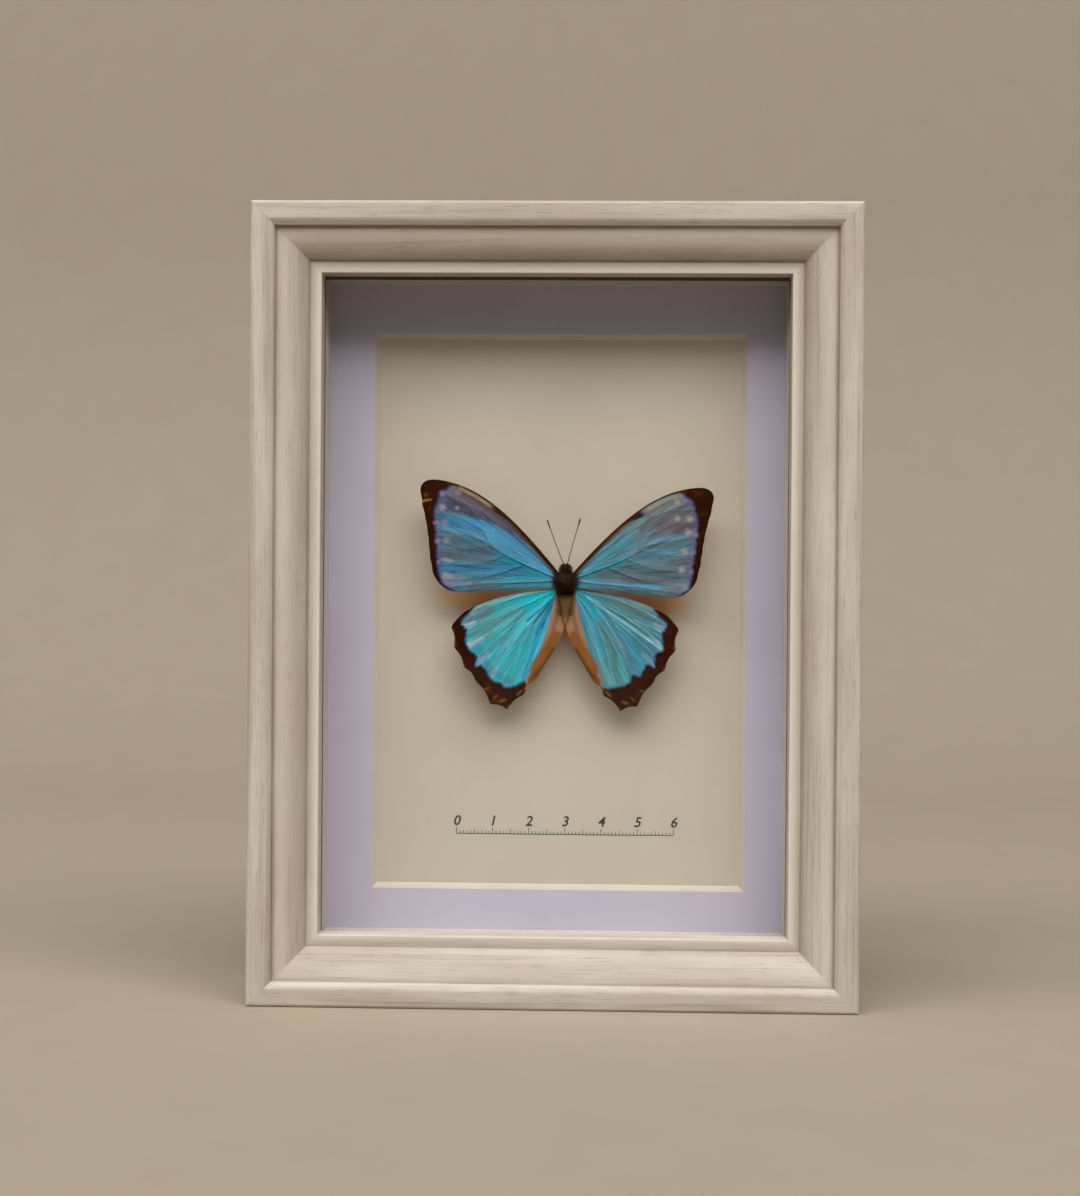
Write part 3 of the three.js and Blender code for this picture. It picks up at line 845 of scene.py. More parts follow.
@dataclass
class BoxFrame:
    """Four mitred rails of moulded wood, in millimetres, widths counted inward and depths backward.

    For each rail, the section's staining and painted shade, and its wear and painted highlight, are
    multiplied by a share, in the order of Rail. The painted shade is deepest on the top rail, whose grooves
    face away from the light above, and least on the bottom rail, which also has less painted highlight.
    """

    width: float = 162
    height: float = 213.6
    depth: float = FRAME_DEPTH
    rail: float = 18.3
    arris: float = 1
    band_end: float = 4.4
    round_radius: float = 2.1
    quirk: float = 0.12
    ovolo_start: float = 6.8
    ovolo_radius: float = 12.2
    ovolo_slopes: Point = (4, 48)
    lip_start: float = 15.2
    lip_front: float = 6.2
    lip_back: float = 12
    lip_overlap: float = 2.7
    lip_arris: float = 0.4
    back_chamfer: float = 0.3
    mitre_gap: float = 0.012
    stations: int = 60
    # Staining and painted shade gather at the feet of the round and the ovolo; painted shade lies up the
    # ovolo and on the window face, and a painted highlight on the ovolo's upper part.
    stain_at_feet: Point = (1, 0.6)
    stain_beside_feet: float = 0.6
    stain_on_ovolo: float = 0.62
    stain_up_ovolo: float = 3
    stain_at_window: float = 0.5
    wear_on_ovolo: float = 0.36
    worn_width: float = 9
    wear_reach: float = 2.1
    # Shares of painted shade and painted highlight for each rail, as the light falls on it.
    stain_of_rail: tuple[float, ...] = (0.3, 0.75, 1.1, 0.8)
    wear_of_rail: tuple[float, ...] = (0.5, 1, 1, 1)
    board_step: float = 0.37

    @property
    def middle(self) -> float:
        """The height of the frame's middle."""
        return self.height / 2

    def arc(self, middle: Point, radius: float, start: float, end: float, steps: int) -> np.ndarray:
        """Points on a circle between two angles in degrees, as middle plus radius times (cos, sin)."""
        turn = np.radians(np.linspace(start, end, steps))[:, None]
        return np.array(middle) + radius * np.hstack([np.cos(turn), np.sin(turn)])

    def section(self) -> np.ndarray:
        """The rail's outline as rows of width inward and depth: arris, band, round, ovolo, lip and rebate."""
        first, last = self.ovolo_slopes
        lean = math.radians(first)
        centre = (
            self.ovolo_start - self.ovolo_radius * math.sin(lean),
            self.round_radius + self.ovolo_radius * math.cos(lean),
        )
        foot = centre[0] + self.ovolo_radius * math.sin(math.radians(last))
        soft, rebate, chamfer = self.lip_arris, self.rail - self.lip_overlap, self.back_chamfer
        turned = self.round_radius - self.quirk
        return np.vstack(
            [
                [(0, self.depth - chamfer), (0, self.depth / 2)],
                self.arc((self.arris, self.arris), self.arris, 180, 270, 8),
                [(self.band_end * 0.6, 0)],
                self.arc((self.band_end, turned), turned, 270, 358, 12),
                [(self.band_end + self.round_radius, self.round_radius)],
                self.arc(centre, self.ovolo_radius, 270 + first, 270 + last, 22),
                [(foot + soft * 0.4, self.lip_front + 0.05), (foot + soft, self.lip_front)],
                self.arc((self.rail - soft, self.lip_front + soft), soft, 270, 360, 5),
                [(self.rail, self.lip_back), (rebate, self.lip_back), (rebate, self.depth - chamfer)],
                [(rebate - chamfer, self.depth), (chamfer, self.depth)],
            ]
        )

    def hollows(self, section: np.ndarray) -> np.ndarray:
        """How much staining and painted shade lie on each point of the section.

        It is the sum of narrow bells of staining and painted shade around the foot of the round and the foot
        of the ovolo, of a wide bell of painted shade up the ovolo from its foot, and of a share of painted
        shade on the face that looks at the window.
        """
        width = section[:, 0]
        foot_of_round = (self.band_end + self.round_radius, self.round_radius)
        feet = np.array([foot_of_round, (self.lip_start, self.lip_front)])
        apart = np.linalg.norm(section[:, None] - feet[None], axis=2)
        narrow = np.exp(-((apart / self.stain_beside_feet) ** 2)) @ self.stain_at_feet
        # The wide bell and the share on the window face are painted shade.
        wide = np.exp(-((apart[:, 1] / self.stain_up_ovolo) ** 2)) * (width < self.lip_start + 0.1)
        window_shade = self.stain_at_window * smooth_step(self.rail - 0.3, self.rail, width)
        return np.clip(narrow + self.stain_on_ovolo * wide + window_shade, 0, 1)

    def rubbed(self, section: np.ndarray) -> np.ndarray:
        """How far the lime is lightened on each point: by wear and painted highlight all over the lip, and by
        painted highlight on part of the ovolo.
        """
        width, depth = section.T
        behind = smooth_step(self.lip_front + 0.1, self.lip_front + 0.5, depth)
        lip = smooth_step(self.lip_start, self.lip_start + 0.6, width) * (1 - behind)
        # The bell on the ovolo's upper part is a painted highlight.
        return lip + self.wear_on_ovolo * np.exp(-(((width - self.worn_width) / self.wear_reach) ** 2))

    def rail_surface(self, rail: Rail) -> Surface:
        """One rail: the section carried along its length, with each end pulled in by the width for the mitre.

        Before the quarter turns a point is at x = s (length / 2 - width inward - gap), for s from -1 to 1,
        y = depth, and z = width inward above the frame's outer edge. The rails' maps lie apart, so that no
        two rails show the same grain.

        Args:
            rail: Which rail to make.

        Returns:
            The closed rail, with a map in metres along and across it, its staining and painted shade, and its
            wear and painted highlight.
        """
        upright = rail.value % 2 == 1
        length, across = (self.height, self.width) if upright else (self.width, self.height)
        section = self.section()
        share = np.linspace(-1, 1, self.stations)[:, None]
        along = share * (length / 2 - section[None, :, 0] - self.mitre_gap)

        def repeated(values: np.ndarray) -> np.ndarray:
            """The section's values, at every station."""
            return np.broadcast_to(values, along.shape)

        inward = repeated(section[:, 0] - across / 2)
        turn = rail.value * math.pi / 2
        x = along * math.cos(turn) + inward * math.sin(turn)
        z = inward * math.cos(turn) - along * math.sin(turn) + self.middle
        girth = np.concatenate([[0], np.cumsum(np.linalg.norm(np.diff(section, axis=0), axis=1))])
        own_board = self.board_step * rail.value
        uv = np.stack([along * MM + own_board, repeated(girth * MM) + own_board], axis=-1)
        # Each rail takes its own share of painted shade and painted highlight, the top rail the most shade
        # and the bottom rail the least of both.
        carried = {
            "stain_and_shade": self.hollows(section) * self.stain_of_rail[rail.value],
            "worn": self.rubbed(section) * self.wear_of_rail[rail.value],
        }
        return Surface(
            np.stack([x, repeated(y_at(section[:, 1])), z], axis=-1).reshape(-1, 3),
            closed_tube_faces(self.stations, len(section)),
            uv.reshape(-1, 2),
            {name: repeated(values).ravel() for name, values in carried.items()},
        )

    def build(self) -> None:
        """Makes the four rails."""
        wood = LimedWood().make()
        for rail in Rail:
            name = f"rail_{rail.name.lower()}"
            make_piece(f"moulded_{name}", self.rail_surface(rail), [wood], (name,), crease=28)


@dataclass
class Mounting:
    """What lies behind the frame's lip: glass, strips, mat, card, foam, backing board and the steel."""

    frame: BoxFrame
    window_width: float = 99.7
    window_height: float = 150.3
    window_middle: Point = (1, -1.9)
    edge_softness: float = 0.12
    inner_edge: float = 0.05
    scale_left: float = -27
    scale_base: float = -63.4
    scale_divisions: int = 6
    tick_heights: tuple[float, float, float] = (1.7, 1.25, 0.8)
    tick_width: float = 0.17
    line_width: float = 0.2
    ink_depth: float = 0.03
    figure_foot: float = 2.3
    figure_height: float = 2.9
    size_of_height: float = 1.35
    figure_slope: float = 0.22
    figure_half_depth: float = 0.02
    figure_boldness: float = 0.06

    def rectangle(self, width: float, height: float, middle: Point, depth: float) -> np.ndarray:
        """The four corners of an upright rectangle at a depth, in turn from the lower left.

        Args:
            width: Its size along X.
            height: Its size along Z.
            middle: The x and z of its middle.
            depth: How far it is behind the frame's front.

        Returns:
            The corners as rows of x, y, z.
        """
        signs = np.array([(-1, -1), (1, -1), (1, 1), (-1, 1)])
        flat = signs * np.array([width, height]) / 2 + np.array(middle)
        return np.column_stack([flat[:, 0], np.full(4, y_at(depth)), flat[:, 1]])

    def mat_surface(self) -> Surface:
        """The mat as rings of corners: round the outside, over the front and down the bevel to the back."""
        low, high = node_box("mat")
        size, middle = (high - low)[[0, 2]], ((high + low) / 2)[[0, 2]]
        front, back = low[1] + self.frame.depth / 2, high[1] + self.frame.depth / 2
        centre = np.array(self.window_middle) + (0, self.frame.middle)
        soft, board = self.edge_softness, back - front

        def window(outset: float, depth: float) -> np.ndarray:
            """The window's corners moved outwards, at a depth."""
            wide, tall = self.window_width + 2 * outset, self.window_height + 2 * outset
            return self.rectangle(wide, tall, centre, depth)

        rings = [
            self.rectangle(*size, middle, back),
            self.rectangle(*size, middle, front),
            window(board + soft, front),
            window(board - soft, front + soft),
            window(self.inner_edge, back - self.inner_edge),
            window(self.inner_edge, back),
        ]
        faces = grid_faces(len(rings), 4, wrap_rows=True, wrap_columns=True)
        rings_before_bevel = (2, 3, 4)
        core = [int(number // 4 in rings_before_bevel) for number in range(len(faces))]
        return Surface(np.vstack(rings), faces, finish_of_face=core)

    def numeral(self, figure: int, ink: bpy.types.Material) -> None:
        """Prints the figure of one centimetre on the card: sloping, and in the middle above its tick.

        Args:
            figure: Which centimetre it is.
            ink: The figure's material.
        """
        curve = bpy.data.curves.new(f"figure_{figure}", "FONT")
        curve.body = str(figure)
        curve.size = self.figure_height * MM * self.size_of_height
        curve.shear = self.figure_slope
        curve.align_x = "CENTER"
        curve.extrude = self.figure_half_depth * MM
        curve.offset = self.figure_boldness * MM
        curve.resolution_u = 3
        text = added(curve.name, curve)
        bpy.context.view_layer.update()
        mesh = bpy.data.meshes.new_from_object(text)
        bpy.data.objects.remove(text)
        x, z = self.scale_left + 10 * figure, self.frame.middle + self.scale_base + self.figure_foot
        front = (node_box("card")[0][1] - self.ink_depth) * MM
        stand = Matrix.Translation((x * MM, front, z * MM)) @ Matrix.Rotation(math.pi / 2, 4, "X")
        mesh.transform(stand)
        mesh.materials.clear()
        mesh.materials.append(ink)
        piece = added(f"printed_figure_{figure}", mesh)
        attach(piece, ROOT_BODY)

    def ticks(self) -> Surface:
        """The printed scale's line and ticks, which are longest at a centimetre and longer at a half one."""
        middle = node_box("card")[0][1] - self.ink_depth / 2
        base = self.frame.middle + self.scale_base
        length = 10 * self.scale_divisions
        bars = [(self.scale_left + length / 2, base, length, self.line_width)]
        for step in range(length + 1):
            tall = self.tick_heights[0 if step % 10 == 0 else 1 if step % 5 == 0 else 2]
            bars.append((self.scale_left + step, base + tall / 2, self.tick_width, tall))
        box = np.array([(x, y, z) for x in (-1, 1) for y in (-1, 1) for z in (-1, 1)]) / 2
        sides = [[0, 1, 3, 2], [4, 6, 7, 5], [0, 4, 5, 1], [2, 3, 7, 6], [0, 2, 6, 4], [1, 5, 7, 3]]
        return joined(
            [Surface(box * (wide, self.ink_depth, tall) + (x, middle, z), sides) for x, z, wide, tall in bars]
        )

    def build(self) -> None:
        """Makes the mat and the printed scale, and finishes the solids that keep their shape."""
        face = Board("mat_face", (181, 175, 191), (173, 166, 184), (196, 192, 205))
        core = Board("mat_core", (184, 175, 163), (174, 164, 151), (158, 147, 133), fleck_share=0.4)
        # The card carries painted warm shadows in the gaps between forewings and hindwings and between the
        # hindwings below the body.
        card = Board(
            "card",
            (186, 177, 162),
            (179, 169, 154),
            (167, 156, 140),
            cloud_share=0.7,
            fleck_share=0.28,
            yellowed_at=(((-23.2, 108.6), (14, 4.6)), ((28.6, 106.9), (12, 4)), ((2.8, 100), (3.4, 6))),
        )
        # The strips carry painted shade at their front, where the lip shades them.
        strip_front = node_box("spacer_left")[0][1] * MM
        fillet = Board("fillet", (178, 167, 160), (169, 158, 150), (190, 181, 174), soiled_to=strip_front)
        foam = Board("foam_face", (228, 226, 220), (219, 216, 208), (205, 202, 194), cloud_share=0.5)
        fibre = Board("hardboard", (142, 108, 76), (124, 92, 62), (96, 68, 44), 0.8, 0.6, tooth=0.00006)
        ink = Chitin("ink", (0.018, 0.015, 0.013), (0.035, 0.03, 0.026), 0.7, 2600, 0.00001).make()
        steel = Steel().make()
        make_piece("bevelled_mat", self.mat_surface(), [face.make(), core.make()], ("mat",), crease=20)
        make_piece("printed_scale", self.ticks(), [ink])
        for figure in range(self.scale_divisions + 1):
            self.numeral(figure, ink)
        finishes = {
            "glass": Glazing().make(),
            "card": card.make(),
            "foam_board": foam.make(),
            "backing_board": fibre.make(),
            "hanger": steel,
            "rivet_1": steel,
            "rivet_2": steel,
            "pin": steel,
        }
        strips = fillet.make()
        finishes |= {f"spacer_{side}": strips for side in ("top", "bottom", "left", "right")}
        finishes |= {f"tab_{rail.name.lower()}_{end}": steel for rail in Rail for end in (1, 2)}
        for name, finish in finishes.items():
            frame["nodes"][name].data.materials.clear()
            frame["nodes"][name].data.materials.append(finish)


# The butterfly


@dataclass(frozen=True)
class Stroke:
    """A soft stroke of colour on a wing, along a smooth path from the first half-width to the last.

    Its colour is given in 0 to 255 as a screen shows it.
    """

    colour: Colour
    path: tuple[Point, ...]
    half_widths: Point
    soft: float = 1
    strength: float = 1

    def cover(self, places: np.ndarray) -> np.ndarray:
        """How much of the stroke lies on each place: 1 inside its width, going to 0 over the softness."""
        line = eased(list(self.path), 6) if len(self.path) > 1 else np.array(self.path)
        near = nearness(places, line)
        half = self.half_widths[0] + (self.half_widths[1] - self.half_widths[0]) * near.along
        return self.strength * (1 - smooth_step(0, self.soft, near.distance - half))


def spot(colour: Colour, place: Point, radius: float, strength: float = 1) -> Stroke:
    """A round spot with a soft edge."""
    return Stroke(colour, (place,), (radius * 0.2, radius * 0.2), radius * 1.3, strength)


def layered(places: np.ndarray, ground: Colour, strokes: tuple[Stroke, ...]) -> np.ndarray:
    """The linear colours at some places once each stroke has been laid over the ground in turn.

    Args:
        places: Rows of u, v on the wing.
        ground: The colour under the strokes, as a screen shows it.
        strokes: The strokes, the lowest first.

    Returns:
        A row of red, green and blue for each place.
    """
    paint = np.tile(np.array(shade(*ground)), (len(places), 1))
    for stroke in strokes:
        cover = stroke.cover(places)[:, None]
        paint = paint * (1 - cover) + np.array(shade(*stroke.colour)) * cover
    return paint


@dataclass(frozen=True)
class Markings:
    """What is on the upper side of one wing, in millimetres outwards and upwards from the thorax.

    The tones are given in 0 to 255 as a screen shows them. A vein's strength is the one near the root and
    the one near the rim.
    """

    ground: Colour
    strokes: tuple[Stroke, ...]
    spots: tuple[Stroke, ...]
    border: tuple[Point, ...]
    veins: tuple[tuple[Point, ...], ...]
    vein_tone: Colour = (34, 38, 46)
    vein_strength: Point = (0.85, 0.3)


@dataclass(frozen=True)
class Outline:
    """A wing's edge, as the curves that follow one another from the front of its root round to the back."""

    curves: tuple[tuple[Point, ...], ...]
    steps: int = 26
    softenings: int = 14

    def points(self) -> np.ndarray:
        """The whole edge, each curve a Bezier with the same number of points, its corners softened.

        Each softening moves every point but the ends to a quarter of each neighbour and half of itself.
        """
        curves = [bezier(list(curve), self.steps) for curve in self.curves]
        edge = np.vstack([[self.curves[0][0]], *curves])
        for _ in range(self.softenings):
            edge[1:-1] = (edge[:-2] + 2 * edge[1:-1] + edge[2:]) / 4
        return edge


def scalloped(teeth: list[Point], sag: float) -> tuple[tuple[Point, ...], ...]:
    """Curves from tooth to tooth, each pulled in between them by the sag.

    Args:
        teeth: The points of the edge's teeth, in turn.
        sag: How deep each curve goes, in millimetres.

    Returns:
        The first point, the handle and the last point of each curve.
    """
    curves = []
    for start, end in zip(teeth, teeth[1:]):
        a, b = np.array(start), np.array(end)
        along = (b - a) / np.linalg.norm(b - a)
        handle = (a + b) / 2 + 2 * sag * np.array([along[1], -along[0]])
        curves.append((start, tuple(handle.tolist()), end))
    return tuple(curves)


FOREWING_TEETH = [
    (39.9, 24.6), (39.3, 20.6), (38.4, 16.8), (37.8, 13.2), (37.4, 9.6), (37.1, 6.2), (36.4, 2.8),
]
HINDWING_TEETH = [
    (31.4, -12.6), (30.6, -18.2), (27.7, -23.8), (24.6, -27.3), (20.4, -33.9), (15.6, -35.4), (11, -31),
    (8.2, -27.4),
]
FOREWING_EDGE = Outline(
    (
        ((1.7, 2.3), (14, 17.6), (24, 27.2), (35.5, 27.7)),
        ((35.5, 27.7), (38.2, 27.8), (39.8, 26.9), (39.9, 24.6)),
        *scalloped(FOREWING_TEETH, 0.18),
        ((36.4, 2.8), (36, 0.6), (33.6, -2.6), (30.5, -3)),
        ((30.5, -3), (25.5, -3.6), (16, -1.9), (1.7, -1.6)),
    )
)
HINDWING_EDGE = Outline(
    (
        ((2.9, -1.7), (12, -2), (21, -5), (27.3, -8.2)),
        ((27.3, -8.2), (29, -9.6), (31.4, -12.6)),
        *scalloped(HINDWING_TEETH, 0.8),
        ((8.2, -27.4), (5.6, -22.4), (1.2, -17.2), (0.12, -11.8)),
        ((0.12, -11.8), (1.4, -3.9)),
    )
)

FOREWING_VEINS = (
    ((3, 2.4), (10.5, 11.2), (20, 19.6), (30, 25.6)),
    ((3, 1.9), (10, 8.9), (19.5, 16.2), (26, 20.2), (36.5, 24)),
    ((26, 20.2), (32, 21.2), (38.8, 21.6)),
    ((22.6, 13.6), (30, 17.4), (38, 18.2)),
    ((3, 1), (11.1, 4.4), (16.3, 6.9), (20.2, 9.6), (22.6, 13.6)),
    ((21.5, 11), (29, 12.6), (37.5, 13.6)),
    ((20.2, 9.6), (28, 8.6), (36.8, 8.6)),
    ((16.3, 6.9), (25, 4.4), (36.2, 4.2)),
    ((11.1, 4.4), (22, 1), (34.6, 0.2)),
    ((3, 0.1), (14, -0.6), (24, -0.9), (31.5, -2.2)),
)
HINDWING_VEINS = (
    ((3, -2.3), (12, -4.2), (21, -7.4), (29, -12)),
    ((3, -2.8), (10.5, -6.4), (20, -11), (30, -17)),
    ((10.5, -6.4), (12.6, -9.4), (19, -14.6), (27.5, -22)),
    ((12.6, -9.4), (18, -18), (24.2, -26.6)),
    ((10.8, -12.4), (15.4, -20.6), (20, -32.6)),
    ((2.6, -3.4), (7.4, -9), (11.6, -19), (15.4, -33.6)),
    ((2.4, -3.6), (6, -10), (9.4, -19.6), (12.2, -29.6)),
)


@dataclass
class Wing:
    """One wing: a thin shell of rays from the root line to the edge, with pleats between its veins."""

    side: Side
    markings: Markings
    finish: WingScales
    kind: str
    edge: Outline
    root_depth: float
    crown: float
    gutter: float = 0
    drop: float = 0
    spread: float = 1
    rings: int = 110
    lift: float = 0.035
    gutter_width: float = 5
    membrane: float = 0.14
    rib_height: float = 0.1
    rib_width: float = 0.3
    rib_thinning: float = 0.8
    pleat: float = 0.16
    pleat_width: float = 1.4
    line_edges: Point = (0.04, 0.3)
    line_fades: Point = (12, 26)
    map_middle: float = 1
    map_radius: float = 22

    def distances_to_veins(self, places: np.ndarray) -> np.ndarray:
        """How far each place is from the nearest vein."""
        veins = [eased(list(vein), 7) for vein in self.markings.veins]
        return np.min([nearness(places, vein).distance for vein in veins], axis=0)

    def surface(self) -> Surface:
        """The wing as a front sheet and a back sheet joined round the edge.

        A point at share s of ray k is root + s (tip - root). Its depth is the root's depth, less the lift
        times u, less the crown, which is a share of the ray's length times sin(pi s), plus the gutter beside
        the body, less a rib over each vein, plus a pleat that deepens away from the veins.

        Returns:
            The closed wing with its map, its colours and its border's signed distance.
        """
        rim = self.edge.points()
        count = len(rim)
        root = rim[0] + np.linspace(0, 1, count)[:, None] * (rim[-1] - rim[0])
        share = np.linspace(0, 1, self.rings)[None, :, None]
        flat = (root[:, None] + share * (rim - root)[:, None]).reshape(-1, 2)
        reach = np.repeat(np.linalg.norm(rim - root, axis=1), self.rings)
        bow = self.crown * reach * np.sin(math.pi * np.tile(share.ravel(), count))
        gutter = self.gutter * np.maximum(1 - flat[:, 0] / self.gutter_width, 0) ** 2
        vein = self.distances_to_veins(flat)
        inner = np.tile(share.ravel(), count)
        rib = self.rib_height * np.exp(-((vein / self.rib_width) ** 2)) * (1 - self.rib_thinning * inner)
        fold = self.pleat * (1 - np.exp(-((vein / self.pleat_width) ** 2))) * np.sin(math.pi * inner)
        depth = self.root_depth - self.lift * flat[:, 0] - bow + gutter
        front = depth - rib + fold
        back = np.maximum(depth + fold + self.membrane, front + self.membrane)
        turned = self.placed(flat)
        sheets = [np.column_stack([turned[:, 0], y_at(level), turned[:, 1]]) for level in (front, back)]
        faces = grid_faces(count, self.rings)
        size = count * self.rings
        shell = faces + [[corner + size for corner in face[::-1]] for face in faces]
        rows = np.arange(count) * self.rings
        rim_line = np.concatenate([rows, rows[::-1] + self.rings - 1])
        following = np.roll(rim_line, -1)
        shell += np.column_stack([rim_line, rim_line + size, following + size, following]).tolist()
        upper = [0] * len(faces) + [1] * (len(shell) - len(faces))
        return self.painted(np.vstack(sheets), shell, flat, vein, upper)

    def placed(self, flat: np.ndarray) -> np.ndarray:
        """The wing's own u, v as x, z in the part: scaled, turned down round the thorax, and on its side."""
        turn = -math.radians(self.drop)
        u, v = (flat * self.spread).T
        across = u * math.cos(turn) - v * math.sin(turn)
        up = u * math.sin(turn) + v * math.cos(turn)
        return np.column_stack([Butterfly.right + self.side.value * across, Butterfly.height + up])

    def painted(
        self,
        points: np.ndarray,
        faces: list[list[int]],
        flat: np.ndarray,
        vein: np.ndarray,
        finish: list[int],
    ) -> Surface:
        """Adds what the material reads: a map in metres from the root, the colours, the border and the spots.

        Args:
            points: The front sheet's points and then the back sheet's.
            faces: All faces.
            flat: The u, v of each point of a sheet.
            vein: Each one's distance to the nearest vein.
            finish: Which material each face has.

        Returns:
            The surface.
        """
        marks = self.markings
        paint = layered(flat, marks.ground, marks.strokes)
        rim = nearness(flat, self.edge.points()).distance
        reach = np.hypot(flat[:, 0], flat[:, 1])
        near_root, near_rim = marks.vein_strength
        line = 1 - smooth_step(*self.line_edges, vein)
        strong = line * (near_root + (near_rim - near_root) * smooth_step(*self.line_fades, reach))
        vein_tone = np.array(shade(*marks.vein_tone))
        paint = paint * (1 - strong[:, None]) + vein_tone * strong[:, None]
        near = nearness(flat, eased(list(marks.border), 5))
        border = near.distance * near.side
        shown = 1 - np.prod([1 - one.cover(flat) for one in marks.spots], axis=0)
        spots = layered(flat, (0, 0, 0), marks.spots) / np.maximum(shown, 0.001)[:, None]
        angle = np.arctan2(flat[:, 1] - self.map_middle, flat[:, 0])
        uv = np.column_stack([reach, angle * self.map_radius]) * MM

        def both(values: np.ndarray) -> np.ndarray:
            """The values for the front sheet, and again for the back sheet."""
            return np.concatenate([values, values])

        return Surface(
            points,
            faces,
            both(uv),
            {"border": both(border), "spot": both(shown), "rim": both(rim)},
            {"paint": both(paint), "spot_paint": both(spots)},
            finish,
        )

    def build(self, underside: bpy.types.Material) -> None:
        """Makes the wing in place of its solid."""
        node = f"{self.kind}_{self.side.word}"
        finishes = [self.finish.make(), underside]
        make_piece(f"scaled_{node}", self.surface(), finishes, (node,), crease=60)


COSTA = ((1.7, 2.3), (6.3, 7.7), (9.6, 11.6), (12.9, 15.1), (16.1, 18.2), (18.8, 20.5))
ROOT = Stroke((38, 24, 20), ((1.8, 2.2), (2.3, 0.4), (2, -1.4)), (0.7, 0.9), 1.5, 0.95)


def left_forewing() -> Markings:
    """The left forewing: a sky-blue band through slate, and a dark tip with a row of pale spots."""
    slate, sky = (76, 78, 94), (78, 148, 186)
    white, pink, lilac = (176, 168, 184), (148, 122, 142), (134, 128, 166)
    return Markings(
        (76, 122, 142),
        (
            Stroke(slate, ((8, 9.2), (16, 15.4), (26, 20.8), (33, 22.6)), (0.8, 3), 1.6),
            Stroke((92, 72, 72), ((18, 18.4), (24, 21.6), (30, 23.6)), (0.5, 0.9), 1.2, 0.8),
            Stroke((74, 104, 120), ((17, 5.6), (26, 8.2), (34, 9.4)), (1.2, 2.8), 2),
            Stroke((82, 96, 110), ((24, 6), (33, 6.6)), (0.2, 0.6), 0.8, 0.7),
            Stroke((44, 138, 160), ((3, 1), (8, 3), (15, 5)), (4, 2), 5),
            Stroke(sky, ((4, 3), (11.4, 7.6), (18.7, 12), (27, 14.6)), (1, 1.3), 2),
            Stroke((74, 134, 170), ((24, 14), (29, 15), (34.6, 15.4)), (1.9, 0.9), 1.7, 0.9),
            Stroke((72, 142, 186), ((14, 11), (20, 14.4), (26, 16), (32, 16.8)), (0.6, 0.2), 1.1, 0.7),
            Stroke((86, 122, 140), ((22, 12), (29, 12.8), (34.6, 13.2)), (0.3, 0.6), 0.7, 0.8),
            Stroke((62, 122, 156), ((12, 2.6), (22, 3.2), (34.4, 3.8)), (0.8, 1.1), 0.9),
            Stroke((70, 140, 160), ((4, -0.2), (14, -0.8), (22, -1)), (0.5, 0.7), 0.8),
            Stroke((96, 108, 116), ((18, -1.4), (26, -1.6)), (0.3, 0.5), 0.8, 0.8),
            Stroke(
                (84, 98, 128), ((31, 24.4), (34, 21), (35, 14), (34.6, 6), (33.4, 0.4)), (0.3, 0.5), 1.6, 0.6
            ),
            Stroke((98, 92, 66), ((22, 22.2), (27, 24.8), (31, 26)), (0.5, 0.8), 0.9, 0.8),
            Stroke((110, 118, 144), ((28, 1), (33.4, 0.4)), (0.3, 0.7), 0.8),
            Stroke((118, 130, 160), ((26, -0.6), (32.4, -1.2)), (0.2, 0.5), 0.5),
        ),
        (
            Stroke((92, 62, 48), COSTA, (1, 1.5), 0.6, 0.85),
            Stroke((42, 19, 9), COSTA, (0.65, 1), 0.35),
            Stroke((44, 24, 16), ((16.4, 17.8), (18.9, 19.8)), (0.6, 0.8), 0.4),
            Stroke((50, 28, 14), ((18.8, 20.6), (25.6, 25), (32.1, 27.3)), (0.4, 0.7), 0.4),
            Stroke((146, 120, 98), ((21, 20.7), (25, 23.2), (28.6, 25)), (0.12, 0.1), 0.5, 0.75),
            ROOT,
            spot(lilac, (33.7, 23.7), 0.7, 0.8),
            spot(pink, (29.5, 24.1), 0.8, 0.7),
            spot((158, 128, 96), (28.8, 25.4), 0.6, 0.7),
            spot(white, (33.7, 20.1), 1, 0.65),
            spot(white, (29.7, 19.9), 0.6, 0.55),
            spot(pink, (35.6, 15.8), 0.7, 0.75),
            spot(pink, (33.1, 15.9), 1, 0.65),
            spot(pink, (35, 10.8), 0.75, 0.75),
            spot((150, 142, 146), (32.6, 11.1), 1, 0.7),
            Stroke((152, 142, 150), ((31.2, 5.4), (33.2, 5.8)), (0.12, 0.22), 0.8, 0.7),
            spot(lilac, (34.7, 5.1), 0.5, 0.8),
            Stroke(white, ((31.4, 1.3), (33, 1.7)), (0.05, 0.2), 0.9, 0.4),
            Stroke((140, 142, 172), ((31, -0.6), (33, -0.2)), (0.05, 0.2), 0.8, 0.4),
            Stroke((160, 112, 66), ((39.6, 21.4), (38.4, 21.9), (36.9, 22.1)), (0.18, 0.05), 0.35, 0.85),
            spot((112, 72, 32), (38.2, 23.4), 0.6, 0.6),
        ),
        (
            (27, 28.2), (30, 27), (31.6, 26.4), (32.8, 25.2), (34.6, 24.4), (35.2, 22.3), (36, 19),
            (35.9, 16.3), (35.6, 12), (35.4, 8.4), (35.3, 4.8), (34.9, 2.3), (34.4, 0.4), (33.2, -1.2),
            (31.4, -2.4), (29, -4),
        ),
        FOREWING_VEINS,
    )


